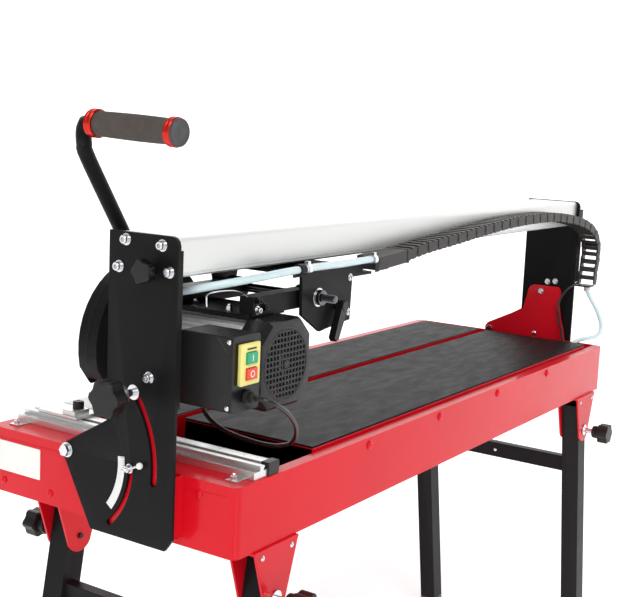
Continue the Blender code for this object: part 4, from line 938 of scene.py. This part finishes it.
PUMP_LEAD = [(1.6, 0.081, 0.158), (1.588, 0.0805, 0.16), (1.578, 0.086, 0.156), (1.573, 0.1, 0.144),
             (1.572, 0.113, 0.125), (1.572, 0.122, 0.1), (1.572, 0.122, 0.074), (1.571, 0.115, 0.048),
             (1.569, 0.107, 0.024), (1.566, 0.102, 0.0), (1.562, 0.107, -0.022), (1.554, 0.117, -0.044),
             (1.541, 0.128, -0.064), (1.525, 0.138, -0.078), (1.512, 0.144, -0.0825),
             (1.5003, 0.145, -0.083)]
PUMP_HOSE = [(1.625, 0.066, 0.1482), (1.6262, 0.0655, 0.1375), (1.638, 0.06, 0.118), (1.652, 0.05, 0.094),
             (1.6565, 0.039, 0.07), (1.6585, 0.031, 0.047), (1.652, 0.029, 0.027), (1.632, 0.034, 0.015),
             (1.608, 0.045, 0.012), (1.586, 0.06, 0.009), (1.569, 0.076, -0.004), (1.56, 0.089, -0.025),
             (1.553, 0.1, -0.048), (1.54, 0.109, -0.068), (1.523, 0.114, -0.08), (1.5045, 0.115, -0.0828)]


def cord(node, route, radius, material, body=None):
    bm = bmesh.new()
    path = swept(bm, smooth_route(route, 0.006), radius, 18)
    made = show(node + "_tube", bm, material, body, crease=60)
    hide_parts(node)
    return made


def cords():
    cable = cord("power_cable", POWER_CABLE, 0.0038, RUBBER, "head")
    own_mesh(cable)
    hose = cord("water_hose", WATER_HOSE, 0.0065, HOSE)
    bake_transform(hose)
    lead = cord("pump_lead", PUMP_LEAD, 0.003, RUBBER)
    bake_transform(lead)
    pale = cord("pump_hose", PUMP_HOSE, 0.0055, HOSE)
    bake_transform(pale)
    piece("cable_gland", PLASTIC, "head",
          (turned, (0.04, 0.019, 0.134), (0, -1, 0),
           [(0, 0.0086), (0.002, 0.011), (0.0075, 0.011), (0.008, 0.0088), (0.0155, 0.0082),
            (0.0168, 0.0066), (0.0168, 0.004), (0, 0.004)], 24))
    piece("pump_hose_fitting", WHITE, "bridge",
          (turned, (1.625, 0.066, 0.1496), (0.1, 0, -1),
           [(0.0004, 0.0058), (0.0004, 0.009), (0.012, 0.009), (0.013, 0.007), (0.013, 0.0058)],
           24), slot="clear_hose")


# ---- Studio ----
def studio():
    sweep = bmesh.new()
    wide, near, far, tall, bend = 40.0, -30.0, 9.0, 14.0, 4.0
    profile = [(near, 0.0), *arc((far - bend, bend), bend, -90, 0, 16), (far, tall)]
    turn = Matrix.Rotation(math.radians(-56.0), 4, "Z")
    rows = [[sweep.verts.new(turn @ Vector((side, run, rise))) for side in (-wide, wide)]
            for run, rise in profile]
    for low, high in zip(rows, rows[1:]):
        sweep.faces.new([low[0], low[1], high[1], high[0]])
    mesh = bpy.data.meshes.new("studio_sweep")
    bmesh.ops.recalc_face_normals(sweep, faces=sweep.faces)
    sweep.to_mesh(mesh)
    sweep.free()
    mesh.materials.append(PAPER)
    mesh.shade_smooth()
    floor = bpy.data.objects.new("studio_sweep", mesh)
    bpy.context.scene.collection.objects.link(floor)

    world = bpy.data.worlds.new("studio")
    world.use_nodes = True
    world.node_tree.nodes["Background"].inputs["Color"].default_value = (1.0, 1.0, 1.0, 1.0)
    world.node_tree.nodes["Background"].inputs["Strength"].default_value = 0.42
    bpy.context.scene.world = world

    def sun(name, toward, strength, spread):
        light = bpy.data.lights.new(name, "SUN")
        light.energy, light.angle = strength, math.radians(spread)
        thing = bpy.data.objects.new(name, light)
        bpy.context.scene.collection.objects.link(thing)
        thing.rotation_euler = Vector(toward).to_track_quat("-Z", "Y").to_euler()

    sun("key", (0.55, 0.62, -1.0), 1.5, 35)
    sun("side_fill", (0.9, 0.35, -0.35), 0.5, 60)


def camera():
    """The picture's own view: position, direction and roll, with a 66 mm lens."""
    yaw, pitch, roll = math.radians(33.516), math.radians(8.386), math.radians(2.452)
    forward = Vector((math.cos(yaw) * math.cos(pitch), math.sin(yaw) * math.cos(pitch), -math.sin(pitch)))
    level = Vector((math.sin(yaw), -math.cos(yaw), 0.0))
    above = level.cross(forward)
    right = level * math.cos(roll) + above * math.sin(roll)
    up = -level * math.sin(roll) + above * math.cos(roll)
    lens = bpy.data.cameras.new("view")
    lens.sensor_fit, lens.sensor_width = "HORIZONTAL", 36.0
    lens.lens = 66.42
    lens.shift_y = -0.00968
    lens.clip_end = 200.0
    thing = bpy.data.objects.new("view", lens)
    bpy.context.scene.collection.objects.link(thing)
    place = Matrix((right, up, -forward)).transposed().to_4x4()
    place.translation = at(-1.3346, -1.0001, 0.5506)
    thing.matrix_world = place
    bpy.context.scene.camera = thing
    bpy.context.scene.view_settings.view_transform = "Standard"


camera()
cords()
studio()
tray()
tables()
fence()
brackets()
plates()
knobs()
beam()
chain()
carriage()
motor()
fan_cover()
switch_gear()
guard_and_blade()
handle()
stand()
